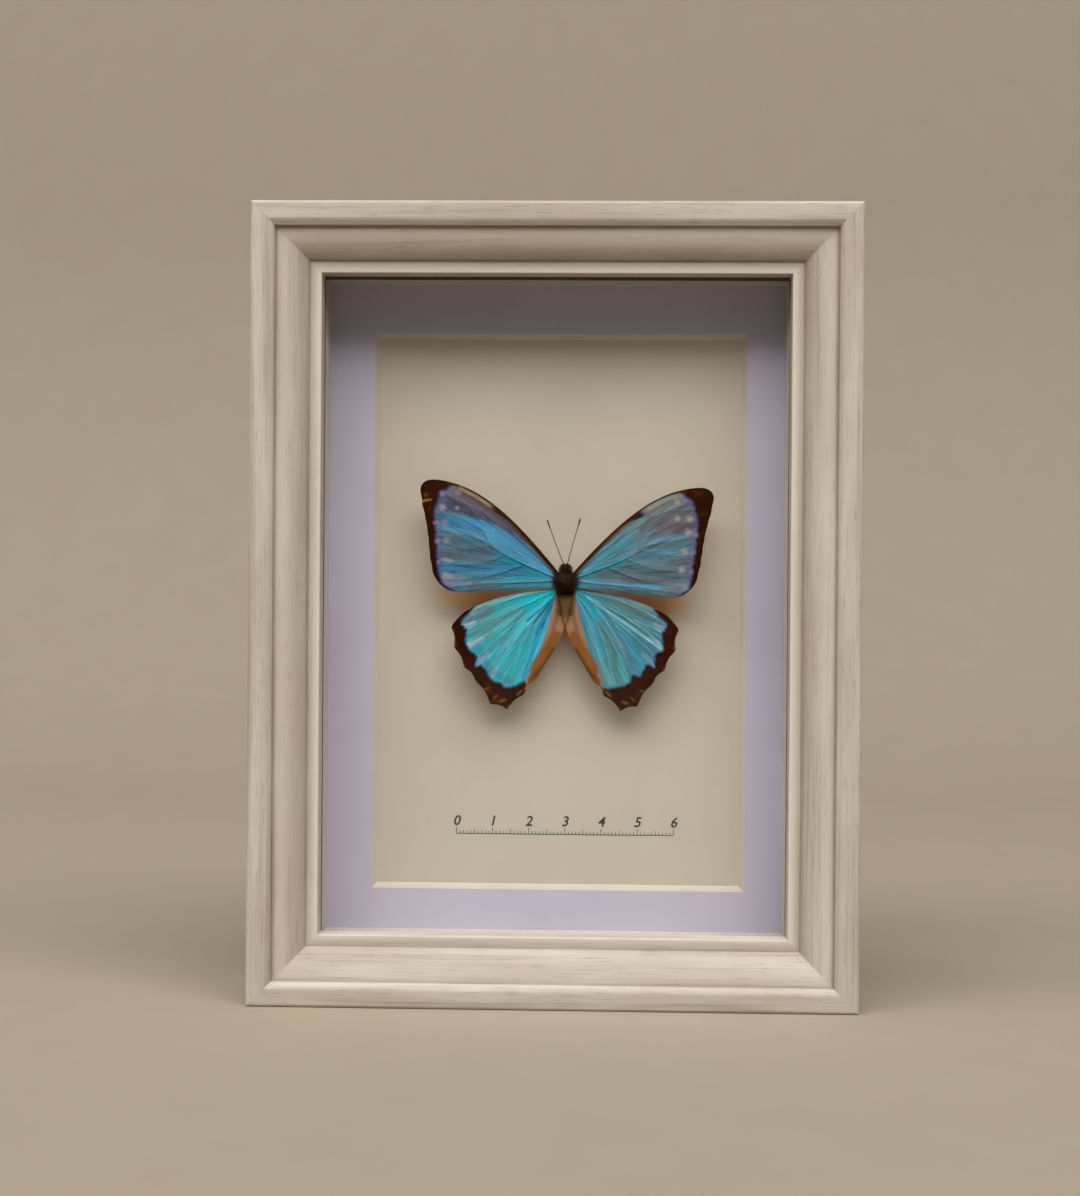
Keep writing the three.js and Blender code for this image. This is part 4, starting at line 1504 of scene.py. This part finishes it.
def right_forewing() -> Markings:
    """The right forewing: greyer, with pale rays, the same dark tip and larger cream spots."""
    cream, pink, lilac = (172, 156, 148), (150, 124, 134), (132, 128, 156)
    ray = (82, 146, 168)
    return Markings(
        (84, 110, 124),
        (
            Stroke((92, 98, 104), ((18, 17), (26, 20.4), (32, 22)), (1.6, 2.6), 2),
            Stroke((100, 92, 98), ((26, 16.6), (34, 18)), (0.9, 1.4), 1.8, 0.9),
            Stroke((56, 128, 146), ((3, 1.4), (9, 5), (15, 8.4)), (3.6, 1.2), 4),
            Stroke(ray, ((5, 4), (12, 9.8), (18.6, 14.6)), (0.8, 0.3), 1.1, 0.9),
            Stroke((88, 120, 126), ((12, 11.6), (20, 17.8)), (0.6, 0.9), 0.8, 0.8),
            Stroke((92, 122, 140), ((10, 5.4), (20, 11), (28, 14)), (0.2, 0.9), 0.9, 0.8),
            Stroke((78, 118, 138), ((18, 6.6), (26, 8.2), (34, 9.6)), (0.6, 1.4), 1.5),
            Stroke((84, 90, 94), ((29, 6), (33.6, 7.4)), (0.8, 1.2), 1.4, 0.8),
            Stroke((82, 102, 112), ((9, 2.2), (20, 3.6), (34, 4)), (0.4, 1.5), 1.2),
            Stroke((80, 138, 164), ((5, 0.2), (14, -0.5), (24, -0.4), (33, -0.4)), (0.35, 0.55), 0.6),
            Stroke((84, 90, 100), ((16, 1.2), (24, 1.5), (30, 1.4)), (0.4, 0.9), 0.8, 0.75),
            Stroke((108, 104, 110), ((27, -1.4), (32, -0.9)), (0.4, 0.8), 0.9, 0.75),
            Stroke((88, 98, 104), ((10, -1.3), (24, -2)), (0.2, 0.4), 0.6, 0.7),
            Stroke((86, 90, 116), ((32, 24), (34.4, 19), (34.8, 11), (34.4, 3)), (0.3, 0.5), 1.7, 0.6),
            Stroke((112, 100, 110), ((18, 13.6), (26, 15.2), (33, 16)), (0.1, 0.25), 0.5, 0.7),
        ),
        (
            Stroke((96, 66, 50), COSTA, (0.9, 1.3), 0.6, 0.85),
            Stroke((46, 22, 11), COSTA, (0.5, 0.85), 0.35),
            Stroke((42, 28, 22), ((17.6, 18.4), (19.8, 19.6)), (0.5, 0.75), 0.45),
            Stroke((52, 30, 16), ((18.8, 20.6), (25.6, 25), (32.1, 27.3)), (0.35, 0.6), 0.4),
            Stroke((146, 130, 112), ((21.4, 20.5), (25, 22.8), (29.4, 25)), (0.18, 0.14), 0.5, 0.8),
            ROOT,
            spot(cream, (33.5, 18.9), 1.05, 0.7),
            spot((148, 162, 180), (30, 18.9), 0.8, 0.7),
            spot((160, 140, 106), (29.7, 23.3), 0.8, 0.75),
            spot((142, 108, 62), (30.7, 25.2), 0.75, 0.75),
            spot((172, 154, 156), (33.3, 15.1), 1.05, 0.7),
            spot(pink, (35.3, 14.6), 0.75, 0.75),
            spot(cream, (32.5, 10), 1, 0.65),
            spot(pink, (34.9, 9.7), 0.7, 0.75),
            spot(cream, (31.9, 4.7), 1, 0.65),
            spot(lilac, (34.4, 4.2), 0.75, 0.75),
            spot(pink, (30.7, 0.6), 0.8, 0.5),
            spot((150, 148, 168), (33.1, -0.2), 0.95, 0.7),
        ),
        (
            (28, 28.6), (30.8, 26.2), (34, 23.8), (35.3, 20.6), (36, 16.8), (35.7, 13.2), (35.4, 8.9),
            (35.2, 5.9), (35, 2.6), (34.6, 0.1), (33, -1.4), (30, -4.2),
        ),
        FOREWING_VEINS,
        vein_strength=(0.8, 0.22),
    )


def hindwing_spots(tan: Colour) -> tuple[Stroke, ...]:
    """The fold beside the body, and small lunules near the tails."""
    inner = ((0.2, -3.6), (0.6, -8), (1.6, -13), (3, -18), (5, -23), (7.6, -27.4))
    return (
        Stroke((166, 126, 90), ((1.4, -5.4), (2.7, -12), (4.3, -18), (6, -23)), (1.2, 1.7), 0.7),
        Stroke((168, 128, 92), inner, (1.9, 2.5), 0.9),
        Stroke((158, 120, 98), ((3.2, -9), (4.6, -14), (6, -18.6)), (0.2, 0.4), 0.8, 0.6),
        Stroke((120, 92, 78), ((2, -8), (3.2, -13), (5, -18.4)), (0.2, 0.3), 0.7, 0.7),
        Stroke((136, 84, 38), ((2.4, -15), (4, -18.6), (6.6, -24)), (0.8, 2.2), 1.6, 0.92),
        Stroke((92, 52, 24), ((3, -19), (5.4, -23.6), (8.4, -27.4)), (0.3, 1.1), 1.3, 0.9),
        Stroke((118, 84, 48), ((0.8, -3.6), (1.2, -8)), (1.3, 0.8), 1.2, 0.95),
        Stroke((40, 26, 22), ((1.2, -2), (1.4, -3)), (1, 0.6), 0.9, 0.95),
        Stroke(tan, ((21, -29.2), (22.4, -29.8)), (0.08, 0.08), 0.4, 0.7),
        Stroke(tan, ((16.2, -32.4), (17.6, -32.9)), (0.1, 0.1), 0.45, 0.8),
        Stroke(tan, ((11.8, -30), (12.9, -30.9)), (0.12, 0.12), 0.45, 0.8),
        Stroke(tan, ((8.4, -26.4), (9.4, -27.8), (11, -29.4)), (0.16, 0.05), 0.4, 0.8),
        Stroke(tan, ((14.6, -33.8), (15.6, -34.4)), (0.1, 0.08), 0.35, 0.7),
        Stroke(tan, ((18.4, -31.2), (19.4, -32)), (0.08, 0.08), 0.35, 0.6),
        Stroke((112, 70, 40), ((31, -13.4), (30.2, -17.6)), (0.2, 0.2), 0.6, 0.7),
        Stroke((104, 64, 34), ((29.6, -19.6), (27.4, -23.6)), (0.15, 0.15), 0.5, 0.7),
    )


def left_hindwing() -> Markings:
    """The left hindwing: bright turquoise, paler along the front, with dark wedges between the vein ends."""
    white = (158, 172, 192)
    return Markings(
        (62, 152, 162),
        (
            Stroke((34, 164, 182), ((3, -2.6), (10, -5.6)), (1.4, 2.2), 4),
            Stroke((88, 144, 150), ((12, -8.4), (18, -11), (24, -12)), (0.6, 1.8), 1.8, 0.8),
            Stroke((94, 114, 128), ((21, -8), (27, -11)), (0.7, 1.2), 1.6, 0.85),
            Stroke((134, 132, 122), ((4, -2.2), (14, -3.6), (22, -6), (28, -9.6)), (0.2, 0.35), 0.7, 0.7),
            Stroke((74, 168, 184), ((7, -8), (14, -16), (19, -22)), (0.7, 1.8), 1.4, 0.9),
            Stroke((48, 154, 168), ((10, -14), (16, -24)), (0.8, 1.6), 1.4, 0.8),
            Stroke((104, 136, 146), ((20, -14.4), (26, -17)), (0.3, 0.6), 0.9, 0.8),
            Stroke((94, 130, 146), ((16, -14.6), (22, -20)), (0.15, 0.3), 0.6, 0.7),
            Stroke((92, 132, 142), ((13, -19), (17.4, -26)), (0.1, 0.25), 0.5, 0.6),
            Stroke((56, 120, 152), ((24, -18), (20, -24.4), (15, -27.6)), (0.3, 0.4), 1.2, 0.6),
            Stroke((24, 104, 150), ((2.6, -4), (5.4, -9.4), (7.4, -14)), (0.3, 0.5), 0.8, 0.85),
            Stroke((44, 146, 186), ((5.4, -9.6), (7.9, -18), (11, -25.6)), (0.4, 0.8), 0.9, 0.8),
            Stroke(
                (136, 186, 206), ((3, -5.4), (4.7, -9.6), (6.3, -15), (8.6, -21.4)), (0.04, 0.1), 0.5, 0.35
            ),
            Stroke((20, 76, 116), ((3.6, -5), (8.6, -11.4)), (0.1, 0.16), 0.3, 0.9),
            Stroke((20, 76, 116), ((4.6, -5.6), (10.4, -10.8)), (0.08, 0.12), 0.28, 0.8),
            Stroke((24, 84, 124), ((3.4, -6.4), (6.4, -12.6)), (0.08, 0.12), 0.28, 0.8),
            Stroke(white, ((24.8, -11.2), (28.4, -12.8)), (0.05, 0.55), 0.8, 0.7),
            Stroke(white, ((22.6, -15.8), (27, -18)), (0.05, 0.6), 0.8, 0.65),
            Stroke((140, 140, 176), ((21, -20), (24.6, -23)), (0.05, 0.5), 0.8, 0.8),
            Stroke((136, 150, 172), ((18.4, -23.4), (20.6, -27)), (0.02, 0.3), 0.7, 0.6),
        ),
        hindwing_spots((126, 80, 40)),
        (
            (24.6, -6), (26.1, -8.4), (28.6, -11.4), (27.1, -13.5), (27.4, -16.9), (26.1, -19.1),
            (24.4, -20.6), (24.7, -23.7), (23, -23.2), (21.6, -24.6), (20, -27.2), (17.4, -28.2),
            (16.1, -29.2), (13.1, -28.7), (11, -27.6), (8, -28.6),
        ),
        HINDWING_VEINS,
        vein_tone=(34, 104, 130),
        vein_strength=(0.6, 0.3),
    )


def right_hindwing() -> Markings:
    """The right hindwing: greyer turquoise with pale rays along its veins."""
    pale, white = (140, 174, 188), (158, 164, 184)
    return Markings(
        (78, 128, 140),
        (
            Stroke((46, 142, 160), ((3, -2.6), (7, -7), (10, -14)), (1, 1.2), 2.4),
            Stroke((84, 124, 126), ((12, -5.4), (20, -9), (24, -11)), (0.6, 1.2), 1.4, 0.8),
            Stroke((104, 112, 112), ((14, -5), (21, -8.4)), (0.3, 0.6), 1, 0.8),
            Stroke((100, 120, 134), ((22, -8.8), (27, -11.4)), (0.5, 1), 1.2, 0.8),
            Stroke((128, 122, 114), ((4, -2.2), (14, -3.6), (22, -6.2), (28, -10)), (0.15, 0.3), 0.6, 0.7),
            Stroke(pale, ((6, -4.2), (18.2, -12), (27, -18.2)), (0.06, 0.22), 0.4, 0.95),
            Stroke(pale, ((17, -9.6), (22, -12.8), (26, -16.4)), (0.06, 0.14), 0.32, 0.8),
            Stroke(pale, ((8, -6.4), (13, -13), (17, -20)), (0.04, 0.12), 0.3, 0.6),
            Stroke(pale, ((19, -10), (27, -13.4)), (0.05, 0.14), 0.3, 0.6),
            Stroke((82, 118, 116), ((10, -11), (13.4, -18), (15, -23)), (0.5, 1.1), 1.1, 0.8),
            Stroke((66, 140, 166), ((14, -12.6), (19, -19), (21, -24)), (0.5, 0.9), 1.1, 0.85),
            Stroke((74, 112, 136), ((19, -14.6), (24, -19)), (0.3, 0.7), 0.8, 0.8),
            Stroke((70, 146, 176), ((3.6, -5.6), (7.6, -12.4), (10.6, -20)), (0.25, 0.45), 0.6, 0.85),
            Stroke((98, 146, 154), ((6.4, -12), (9.4, -20), (13.4, -27)), (0.25, 0.6), 0.8, 0.8),
            Stroke((88, 150, 158), ((15, -20), (16.4, -26.6)), (0.2, 0.6), 0.8, 0.7),
            Stroke(white, ((24.4, -11), (28, -12.6)), (0.05, 0.5), 0.8, 0.6),
            Stroke(white, ((23, -15), (27.4, -18)), (0.05, 0.5), 0.7, 0.65),
            Stroke(white, ((21.4, -19.4), (24.6, -22.4)), (0.02, 0.3), 0.7, 0.45),
        ),
        hindwing_spots((122, 78, 42)),
        (
            (24, -5.6), (25.4, -8.5), (28, -11.1), (26.7, -14.1), (27.3, -18.2), (25.1, -19.3),
            (24.9, -23.1), (22.7, -22.3), (21.1, -25.4), (18.9, -25.4), (18.1, -27.6), (14.8, -28.7),
            (12, -29.2), (8.6, -28.4),
        ),
        HINDWING_VEINS,
        vein_tone=(132, 164, 174),
        vein_strength=(0.35, 0.45),
    )


@dataclass(frozen=True)
class Coat:
    """The hair on head, thorax and abdomen, in millimetres, with heights above the thorax's middle."""

    hairs: int = 11000
    heights: Point = (-9.5, 4.75)
    start_share: float = 0.93
    thorax_reach: float = 2.6
    length: float = 0.4
    more_on_thorax: float = 1.15
    length_shares: Point = (0.5, 1.15)
    disorder: float = 0.3
    outwards: float = 0.8
    slope: Place = (0, -0.1, -0.5)
    parting: float = 0.2
    up_on_head: float = 0.9
    head_starts: Point = (1.4, 3.6)
    sag: Place = (0, 0, -0.35)
    bend_shares: Point = (0.55, 0.45)
    thicknesses: Point = (0.05, 0.035)
    thickness_from: Place = (0.3, 0.9, 0.2)
    dark: tuple[Colour, Colour] = (shade(30, 15, 7), shade(82, 48, 25))
    tan: tuple[Colour, Colour] = (shade(132, 99, 58), shade(196, 152, 102))
    tan_starts: Point = (3, 5.4)

    def surface(self, profile: np.ndarray, flatness: float) -> Surface:
        """The hairs: each a cone of three sides that bends once.

        A hair starts at a random height and angle on the profile, and leans outwards and backwards, but
        upwards on the head. The hairs are longest on the thorax.

        Args:
            profile: Rows of radius and height along the body.
            flatness: The body's depth as a share of its width.

        Returns:
            All hairs as one surface, with a tone for each.
        """
        draw = np.random.default_rng(SEED)
        order = np.argsort(profile[:, 1])
        height = draw.uniform(*self.heights, self.hairs)
        radius = np.interp(height, profile[order, 1], profile[order, 0])
        turn = draw.uniform(0, 2 * math.pi, self.hairs)
        out = np.column_stack([np.cos(turn), flatness * np.sin(turn), np.zeros(self.hairs)])
        on_axis = np.column_stack([np.zeros((self.hairs, 2)), height])
        start = out * (radius * self.start_share)[:, None] + on_axis
        on_thorax = np.exp(-((height / self.thorax_reach) ** 2))
        length = self.length + self.more_on_thorax * on_thorax
        length = length * draw.uniform(*self.length_shares, self.hairs)
        lean = draw.normal(0, self.disorder, (self.hairs, 3)) + out * self.outwards + self.slope
        lean[:, 0] += self.parting * np.sign(out[:, 0]) * on_thorax
        lean[:, 2] += self.up_on_head * smooth_step(*self.head_starts, height)
        lean = unit(lean)
        bend = unit(lean + self.sag)
        before, after = self.bend_shares
        middle = start + lean * (length * before)[:, None]
        tip = middle + bend * (length * after)[:, None]
        first = unit(np.cross(lean, self.thickness_from))
        second = np.cross(lean, first)
        rings = []
        for place, thick in zip((start, middle), self.thicknesses):
            for corner in np.radians([0, 120, 240]):
                rings.append(place + thick * (math.cos(corner) * first + math.sin(corner) * second))
        points = np.stack([*rings, tip], axis=1).reshape(-1, 3)
        pattern = [[0, 1, 4, 3], [1, 2, 5, 4], [2, 0, 3, 5], [3, 4, 6], [4, 5, 6], [5, 3, 6], [2, 1, 0]]
        faces = [[corner + 7 * hair for corner in face] for hair in range(self.hairs) for face in pattern]
        tone = draw.uniform(0, 1, self.hairs)[:, None]
        dark, tan = (
            np.array(first_tone) * (1 - tone) + np.array(last_tone) * tone
            for first_tone, last_tone in (self.dark, self.tan)
        )
        on_abdomen = smooth_step(*self.tan_starts, -height)[:, None]
        colour = dark * (1 - on_abdomen) + tan * on_abdomen
        return Surface(points, faces, colours={"paint": np.repeat(colour, 7, axis=0)})


@dataclass
class Body:
    """Head, thorax and abdomen in one skin, with eyes, palps, folded legs and a coat of hair."""

    flatness: float = 0.94
    depth: float = 20.2
    sides: int = 48
    rings_per_curve: int = 16
    profile: tuple[tuple[Point, ...], ...] = (
        ((0, 4.8), (0.9, 4.8), (1.55, 4.2), (1.55, 3.4)),
        ((1.55, 3.4), (1.55, 2.7), (1.4, 2.3), (1.5, 2)),
        ((1.5, 2), (2.2, 1.9), (2.4, 1), (2.4, 0)),
        ((2.4, 0), (2.4, -1.5), (1.9, -2.7), (1.45, -3.3)),
        ((1.45, -3.3), (1.4, -4.6), (1.25, -5.6), (1, -6.8)),
        ((1, -6.8), (0.7, -8.6), (0.45, -11.2), (0, -11.4)),
    )
    segment: float = 0.95
    pinch: float = 0.09
    pinched_below: float = -3.5
    skin: tuple[Colour, ...] = (shade(36, 22, 13), shade(162, 124, 80), shade(166, 124, 74))
    brown_starts: Point = (3.4, 6)
    tan_starts: Point = (7, 10)
    eye_place: Place = (1.06, -0.35, 3.5)
    eye_radius: float = 0.74
    eye_half_height: float = 0.84
    eye_rings: int = 18
    eye_sides: int = 28
    knuckle: float = 0.25

    def placed(self, points: np.ndarray) -> np.ndarray:
        """Moves points from the middle of the thorax to where the body is in the part."""
        return points + (Butterfly.right, y_at(self.depth), Butterfly.height)

    def trunk(self) -> Surface:
        """The body's skin: the profile turned about the axis, pinched at each ring of the abdomen.

        At height h the radius r is the profile's, less the pinch times r times the fourth power of
        cos(pi h / segment) below the thorax. The point at angle a is (r cos a, flatness r sin a, h).
        """
        curves = [bezier(list(curve), self.rings_per_curve) for curve in self.profile]
        radius, height = np.vstack([[self.profile[0][0]], *curves]).T
        pinch = self.pinch * np.cos(math.pi * height / self.segment) ** 4
        radius = radius * np.where(height < self.pinched_below, 1 - pinch, 1)
        turn = np.linspace(0, 2 * math.pi, self.sides, endpoint=False)
        x = radius[:, None] * np.cos(turn)
        y = self.flatness * radius[:, None] * np.sin(turn)
        rings = np.stack(np.broadcast_arrays(x, y, height[:, None]), axis=-1).reshape(-1, 3)
        faces = grid_faces(len(height), self.sides, wrap_columns=True)
        return Surface(self.placed(rings), faces, colours=self.tones(rings[:, 2]))

    def tones(self, height: np.ndarray) -> dict[str, np.ndarray]:
        """The skin's tone by height: near black on head and thorax, then brown, then tan at the tip."""
        black, brown, tan = (np.array(tone) for tone in self.skin)
        to_brown = smooth_step(*self.brown_starts, -height)[:, None]
        to_tan = smooth_step(*self.tan_starts, -height)[:, None]
        mixed = black * (1 - to_brown) + brown * to_brown
        return {"paint": mixed * (1 - to_tan) + tan * to_tan}

    def eye(self, side: Side) -> Surface:
        """An eye: a sphere a little longer than wide, set in the side of the head."""
        out, y, z = self.eye_place
        turn = np.linspace(0, 2 * math.pi, self.eye_sides, endpoint=False)[None, :]
        rise = np.linspace(0.02, math.pi - 0.02, self.eye_rings)[:, None]
        ball = np.stack(
            [
                self.eye_radius * np.sin(rise) * np.cos(turn) + side.value * out,
                self.eye_radius * np.sin(rise) * np.sin(turn) + y,
                self.eye_half_height * np.cos(rise) * np.ones_like(turn) + z,
            ],
            axis=-1,
        )
        return Surface(self.placed(ball.reshape(-1, 3)), closed_tube_faces(self.eye_rings, self.eye_sides))

    def limb(self, points: list[Place], thick: float, thin: float) -> Surface:
        """A tapering, jointed limb along a smooth way through three points from the thorax's middle.

        Args:
            points: Its hip, knee and foot.
            thick: Its radius at the hip.
            thin: Its radius at the foot.

        Returns:
            The closed limb, where the body is in the part.
        """
        share = np.linspace(0, 1, 24)[:, None]
        hip, knee, foot = (np.array(point) for point in points)
        way = bowed(share, hip, 2 * knee - (hip + foot) / 2, foot)
        share = share.ravel()
        swelling = 1 + self.knuckle * np.cos(3 * math.pi * share) ** 6
        return tube(self.placed(way), (thick + (thin - thick) * share) * swelling, 8)

    def limbs(self) -> Surface:
        """Two palps in front of the head and four legs folded under the thorax."""
        palp = [(0.35, -0.6, 4.1), (0.5, -1.2, 4.6), (0.4, -1.4, 5)]
        front_leg = [(0.8, 1.6, 1), (1.5, 3.2, 1.4), (0.6, 4, 2.8)]
        hind_leg = [(0.8, 1.6, -0.8), (1.6, 3.2, -1.2), (0.7, 4, -3.6)]
        made = []
        for side in Side:
            for way, thick, thin in ((palp, 0.3, 0.12), (front_leg, 0.19, 0.1), (hind_leg, 0.19, 0.1)):
                made.append(self.limb([(side.value * x, y, z) for x, y, z in way], thick, thin))
        return joined(made)

    def hair(self) -> Surface:
        """The coat of hair, where the body is in the part."""
        profile = np.vstack([bezier(list(curve), 30) for curve in self.profile])
        coat = Coat().surface(profile, self.flatness)
        return replace(coat, points=self.placed(coat.points))

    def build(self) -> None:
        """Makes the body in place of its solid."""
        skin = PaintedBody().make()
        dark = Chitin("limb_shell", shade(34, 24, 18), shade(70, 50, 34), 0.55, 2400).make()
        make_piece("body_skin", self.trunk(), [skin], ("body",), crease=70)
        make_piece("body_hair", self.hair(), [skin], crease=180)
        make_piece("palps_and_legs", self.limbs(), [dark])
        eyes = joined([self.eye(side) for side in Side])
        make_piece("eyes", eyes, [CompoundEye().make()])


@dataclass
class Antenna:
    """An antenna: a fine ringed shaft that swells to a club."""

    side: Side
    way: tuple[Place, ...]
    shaft: float = 0.13
    club: float = 0.25
    club_starts: Point = (0.78, 0.94)
    rounded_end: float = 0.03
    joints: int = 34
    joint_depth: float = 0.1
    steps: int = 120
    sides: int = 12

    def surface(self) -> Surface:
        """The tube along the way, swollen over its last fifth and pinched slightly at each joint."""
        share = np.linspace(0, 1, self.steps)
        path = bowed(share[:, None], *(np.array(point) for point in self.way))
        swell = smooth_step(*self.club_starts, share) * (self.club - self.shaft)
        end = np.sqrt(np.clip((1 - share) / self.rounded_end, 0.02, 1))
        joints = 1 + self.joint_depth * np.cos(2 * math.pi * self.joints * share)
        radii = (self.shaft + swell) * end * joints
        x, z = path[:, 0] + Butterfly.right, path[:, 1] + Butterfly.height
        return tube(np.column_stack([x, y_at(path[:, 2]), z]), radii, self.sides)

    def build(self, finish: bpy.types.Material) -> None:
        """Makes the antenna in place of its solid."""
        node = f"antenna_{self.side.word}"
        make_piece(f"ringed_{node}", self.surface(), [finish], (node,))


@dataclass
class Butterfly:
    """The whole specimen, its thorax's middle at these places in the part."""

    right: float = 2.8
    height: float = 113.3

    def wings(self) -> list[Wing]:
        """The four wings with their own markings."""
        teal = shade(24, 56, 100)
        left, right = Side.LEFT, Side.RIGHT
        left_fore = WingScales("left_forewing_scales", (1.02, 1, 0.98))
        right_fore = WingScales("right_forewing_scales", (1.18, 1.12, 1.08))
        left_hind = WingScales("left_hindwing_scales", (1.04, 1.22, 1.19), fringe=teal, fringe_width=0.6)
        right_hind = WingScales("right_hindwing_scales", (0.84, 1.08, 1.08), fringe=teal, fringe_width=0.6)
        fore = {"kind": "forewing", "edge": FOREWING_EDGE, "root_depth": 19.2, "crown": 0.02}
        hind = {"kind": "hindwing", "edge": HINDWING_EDGE, "root_depth": 19.85, "crown": 0.01, "gutter": 1.5}
        return [
            Wing(left, left_forewing(), left_fore, **fore),
            Wing(right, right_forewing(), right_fore, **fore, drop=2.3, spread=0.985),
            Wing(left, left_hindwing(), left_hind, **hind),
            Wing(right, right_hindwing(), right_hind, **hind, drop=0.8),
        ]

    def build(self) -> None:
        """Makes the wings, the body and the antennae."""
        underside = Chitin("wing_underside", shade(236, 146, 60), shade(206, 118, 42), 0.6, 420).make()
        for wing in self.wings():
            wing.build(underside)
        Body().build()
        horn = Chitin("antenna_shell", shade(62, 52, 46), shade(96, 84, 74), 0.5, 5200, 0.00001).make()
        Antenna(Side.LEFT, ((-0.55, 4.7, 18.9), (-2.9, 10.6, 17), (-5.1, 16.8, 16.2))).build(horn)
        Antenna(Side.RIGHT, ((0.45, 4.7, 18.9), (2, 10.6, 17), (4, 17.2, 16.2))).build(horn)


# The studio


def aimed(thing: bpy.types.ID, place: Place, right: Place, up: Place, back: Place) -> bpy.types.Object:
    """Puts a lamp or a camera at a place in metres, its right, up and back along these directions.

    Args:
        thing: The lamp or the camera.
        place: Where it is.
        right: The direction to its right, of length one as are the others.
        up: The direction above it.
        back: The direction behind it, away from what it faces.

    Returns:
        The object that holds it.
    """
    holder = added(thing.name, thing)
    axes = np.column_stack([right, up, back])
    holder.matrix_world = Matrix.Translation(place) @ Matrix(axes.tolist()).to_4x4()
    return holder


@dataclass(frozen=True)
class Lamp:
    """A rectangular lamp that faces the frame's middle, in metres and watts."""

    name: str
    place: Place
    size: Point
    power: float
    tone: Colour = (1, 0.985, 0.965)
    target: Place = (0, 0, 0.107)

    def build(self) -> None:
        """Adds the lamp."""
        light = bpy.data.lights.new(self.name, "AREA")
        light.shape = "RECTANGLE"
        light.size, light.size_y = self.size
        light.energy = self.power
        light.color = self.tone
        away = np.array(self.place) - np.array(self.target)
        away = away / np.linalg.norm(away)
        side = np.cross((0, 0, 1), away)
        side /= np.linalg.norm(side)
        aimed(light, self.place, side, np.cross(away, side), away)


@dataclass
class Studio:
    """A pale floor that curves up behind, two wide soft lamps in front and above, and warm surroundings.

    The floor is given in millimetres, as is the camera's place, and the camera's yaw, pitch and roll in
    degrees.
    """

    floor_width: float = 4000
    floor_front: float = -2600
    floor_back: float = 500
    bend_radius: float = 400
    wall_height: float = 1800
    floor_tones: tuple[Colour, Colour] = ((0.4, 0.34, 0.26), (0.43, 0.37, 0.29))
    lamps: tuple[Lamp, ...] = (
        Lamp("key", (-0.12, -1.56, 2.333), (5.2, 1.08), 88),
        Lamp("overhead", (-0.12, -0.66, 2.753), (5.2, 0.6), 32),
    )
    surroundings: Colour = (1, 0.6, 0.34)
    surroundings_strength: float = 0.015
    camera_place: Place = (11.16, -518, 111.37)
    camera_angles: Place = (-1.69, -0.286, 0.436)
    lens: float = 57.18
    sensor_width: float = 36

    def floor(self) -> None:
        """Makes the floor: flat, then a quarter circle, then an upright wall, carried along X."""
        turn = np.linspace(0, math.pi / 2, 16)
        bend_y = self.floor_back + self.bend_radius * np.sin(turn)
        bend_z = self.bend_radius * (1 - np.cos(turn))
        bend = np.column_stack([bend_y, bend_z])
        path = np.vstack([[(self.floor_front, 0)], bend, [(bend[-1, 0], self.wall_height)]])
        across = np.array([-0.5, 0.5])[:, None] * self.floor_width
        points = np.stack(np.broadcast_arrays(across, path[:, 0], path[:, 1]), axis=-1)
        mesh = bpy.data.meshes.new("floor")
        mesh.from_pydata((points.reshape(-1, 3) * MM).tolist(), [], grid_faces(2, len(path)))
        recipe = Recipe("studio_floor")
        tone = recipe.mix(*self.floor_tones, recipe.grains(40, 3))
        mesh.materials.append(recipe.plain(base_color=tone, roughness=0.85))
        mesh.polygons.foreach_set("use_smooth", [True] * len(mesh.polygons))
        added("floor", mesh)

    def light(self) -> None:
        """Sets the lamps and the surroundings."""
        for lamp in self.lamps:
            lamp.build()
        world = bpy.data.worlds.new("surroundings")
        world.use_nodes = True
        background = world.node_tree.nodes["Background"]
        background.inputs[0].default_value = (*self.surroundings, 1)
        background.inputs[1].default_value = self.surroundings_strength
        bpy.context.scene.world = world
        bpy.context.scene.view_settings.view_transform = "Standard"

    def camera(self) -> None:
        """Sets the camera where the photograph was taken from."""
        yaw, pitch, roll = (math.radians(angle) for angle in self.camera_angles)
        ahead = math.cos(pitch)
        forward = np.array([math.sin(yaw) * ahead, math.cos(yaw) * ahead, math.sin(pitch)])
        level = np.array([math.cos(yaw), -math.sin(yaw), 0])
        rise = np.cross(level, forward)
        right = level * math.cos(roll) + rise * math.sin(roll)
        up = -level * math.sin(roll) + rise * math.cos(roll)
        camera = bpy.data.cameras.new("camera")
        camera.sensor_width = self.sensor_width
        camera.lens = self.lens
        camera.clip_start = 0.01
        place = tuple(number * MM for number in self.camera_place)
        bpy.context.scene.camera = aimed(camera, place, right, up, -forward)

    def build(self) -> None:
        """Makes the floor, the lamps and the camera."""
        self.camera()
        self.floor()
        self.light()


def corners(bounds: object) -> list[list[float]]:
    """A box's lowest and highest corners as plain lists of numbers."""
    return [[float(number) for number in corner] for corner in bounds]


def main() -> None:
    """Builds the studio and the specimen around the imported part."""
    logging.basicConfig(level=logging.INFO, format="%(name)s %(message)s")
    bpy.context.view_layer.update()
    Studio().build()
    box_frame = BoxFrame()
    box_frame.build()
    Mounting(box_frame).build()
    Butterfly().build()


if __name__ == "__main__":
    main()
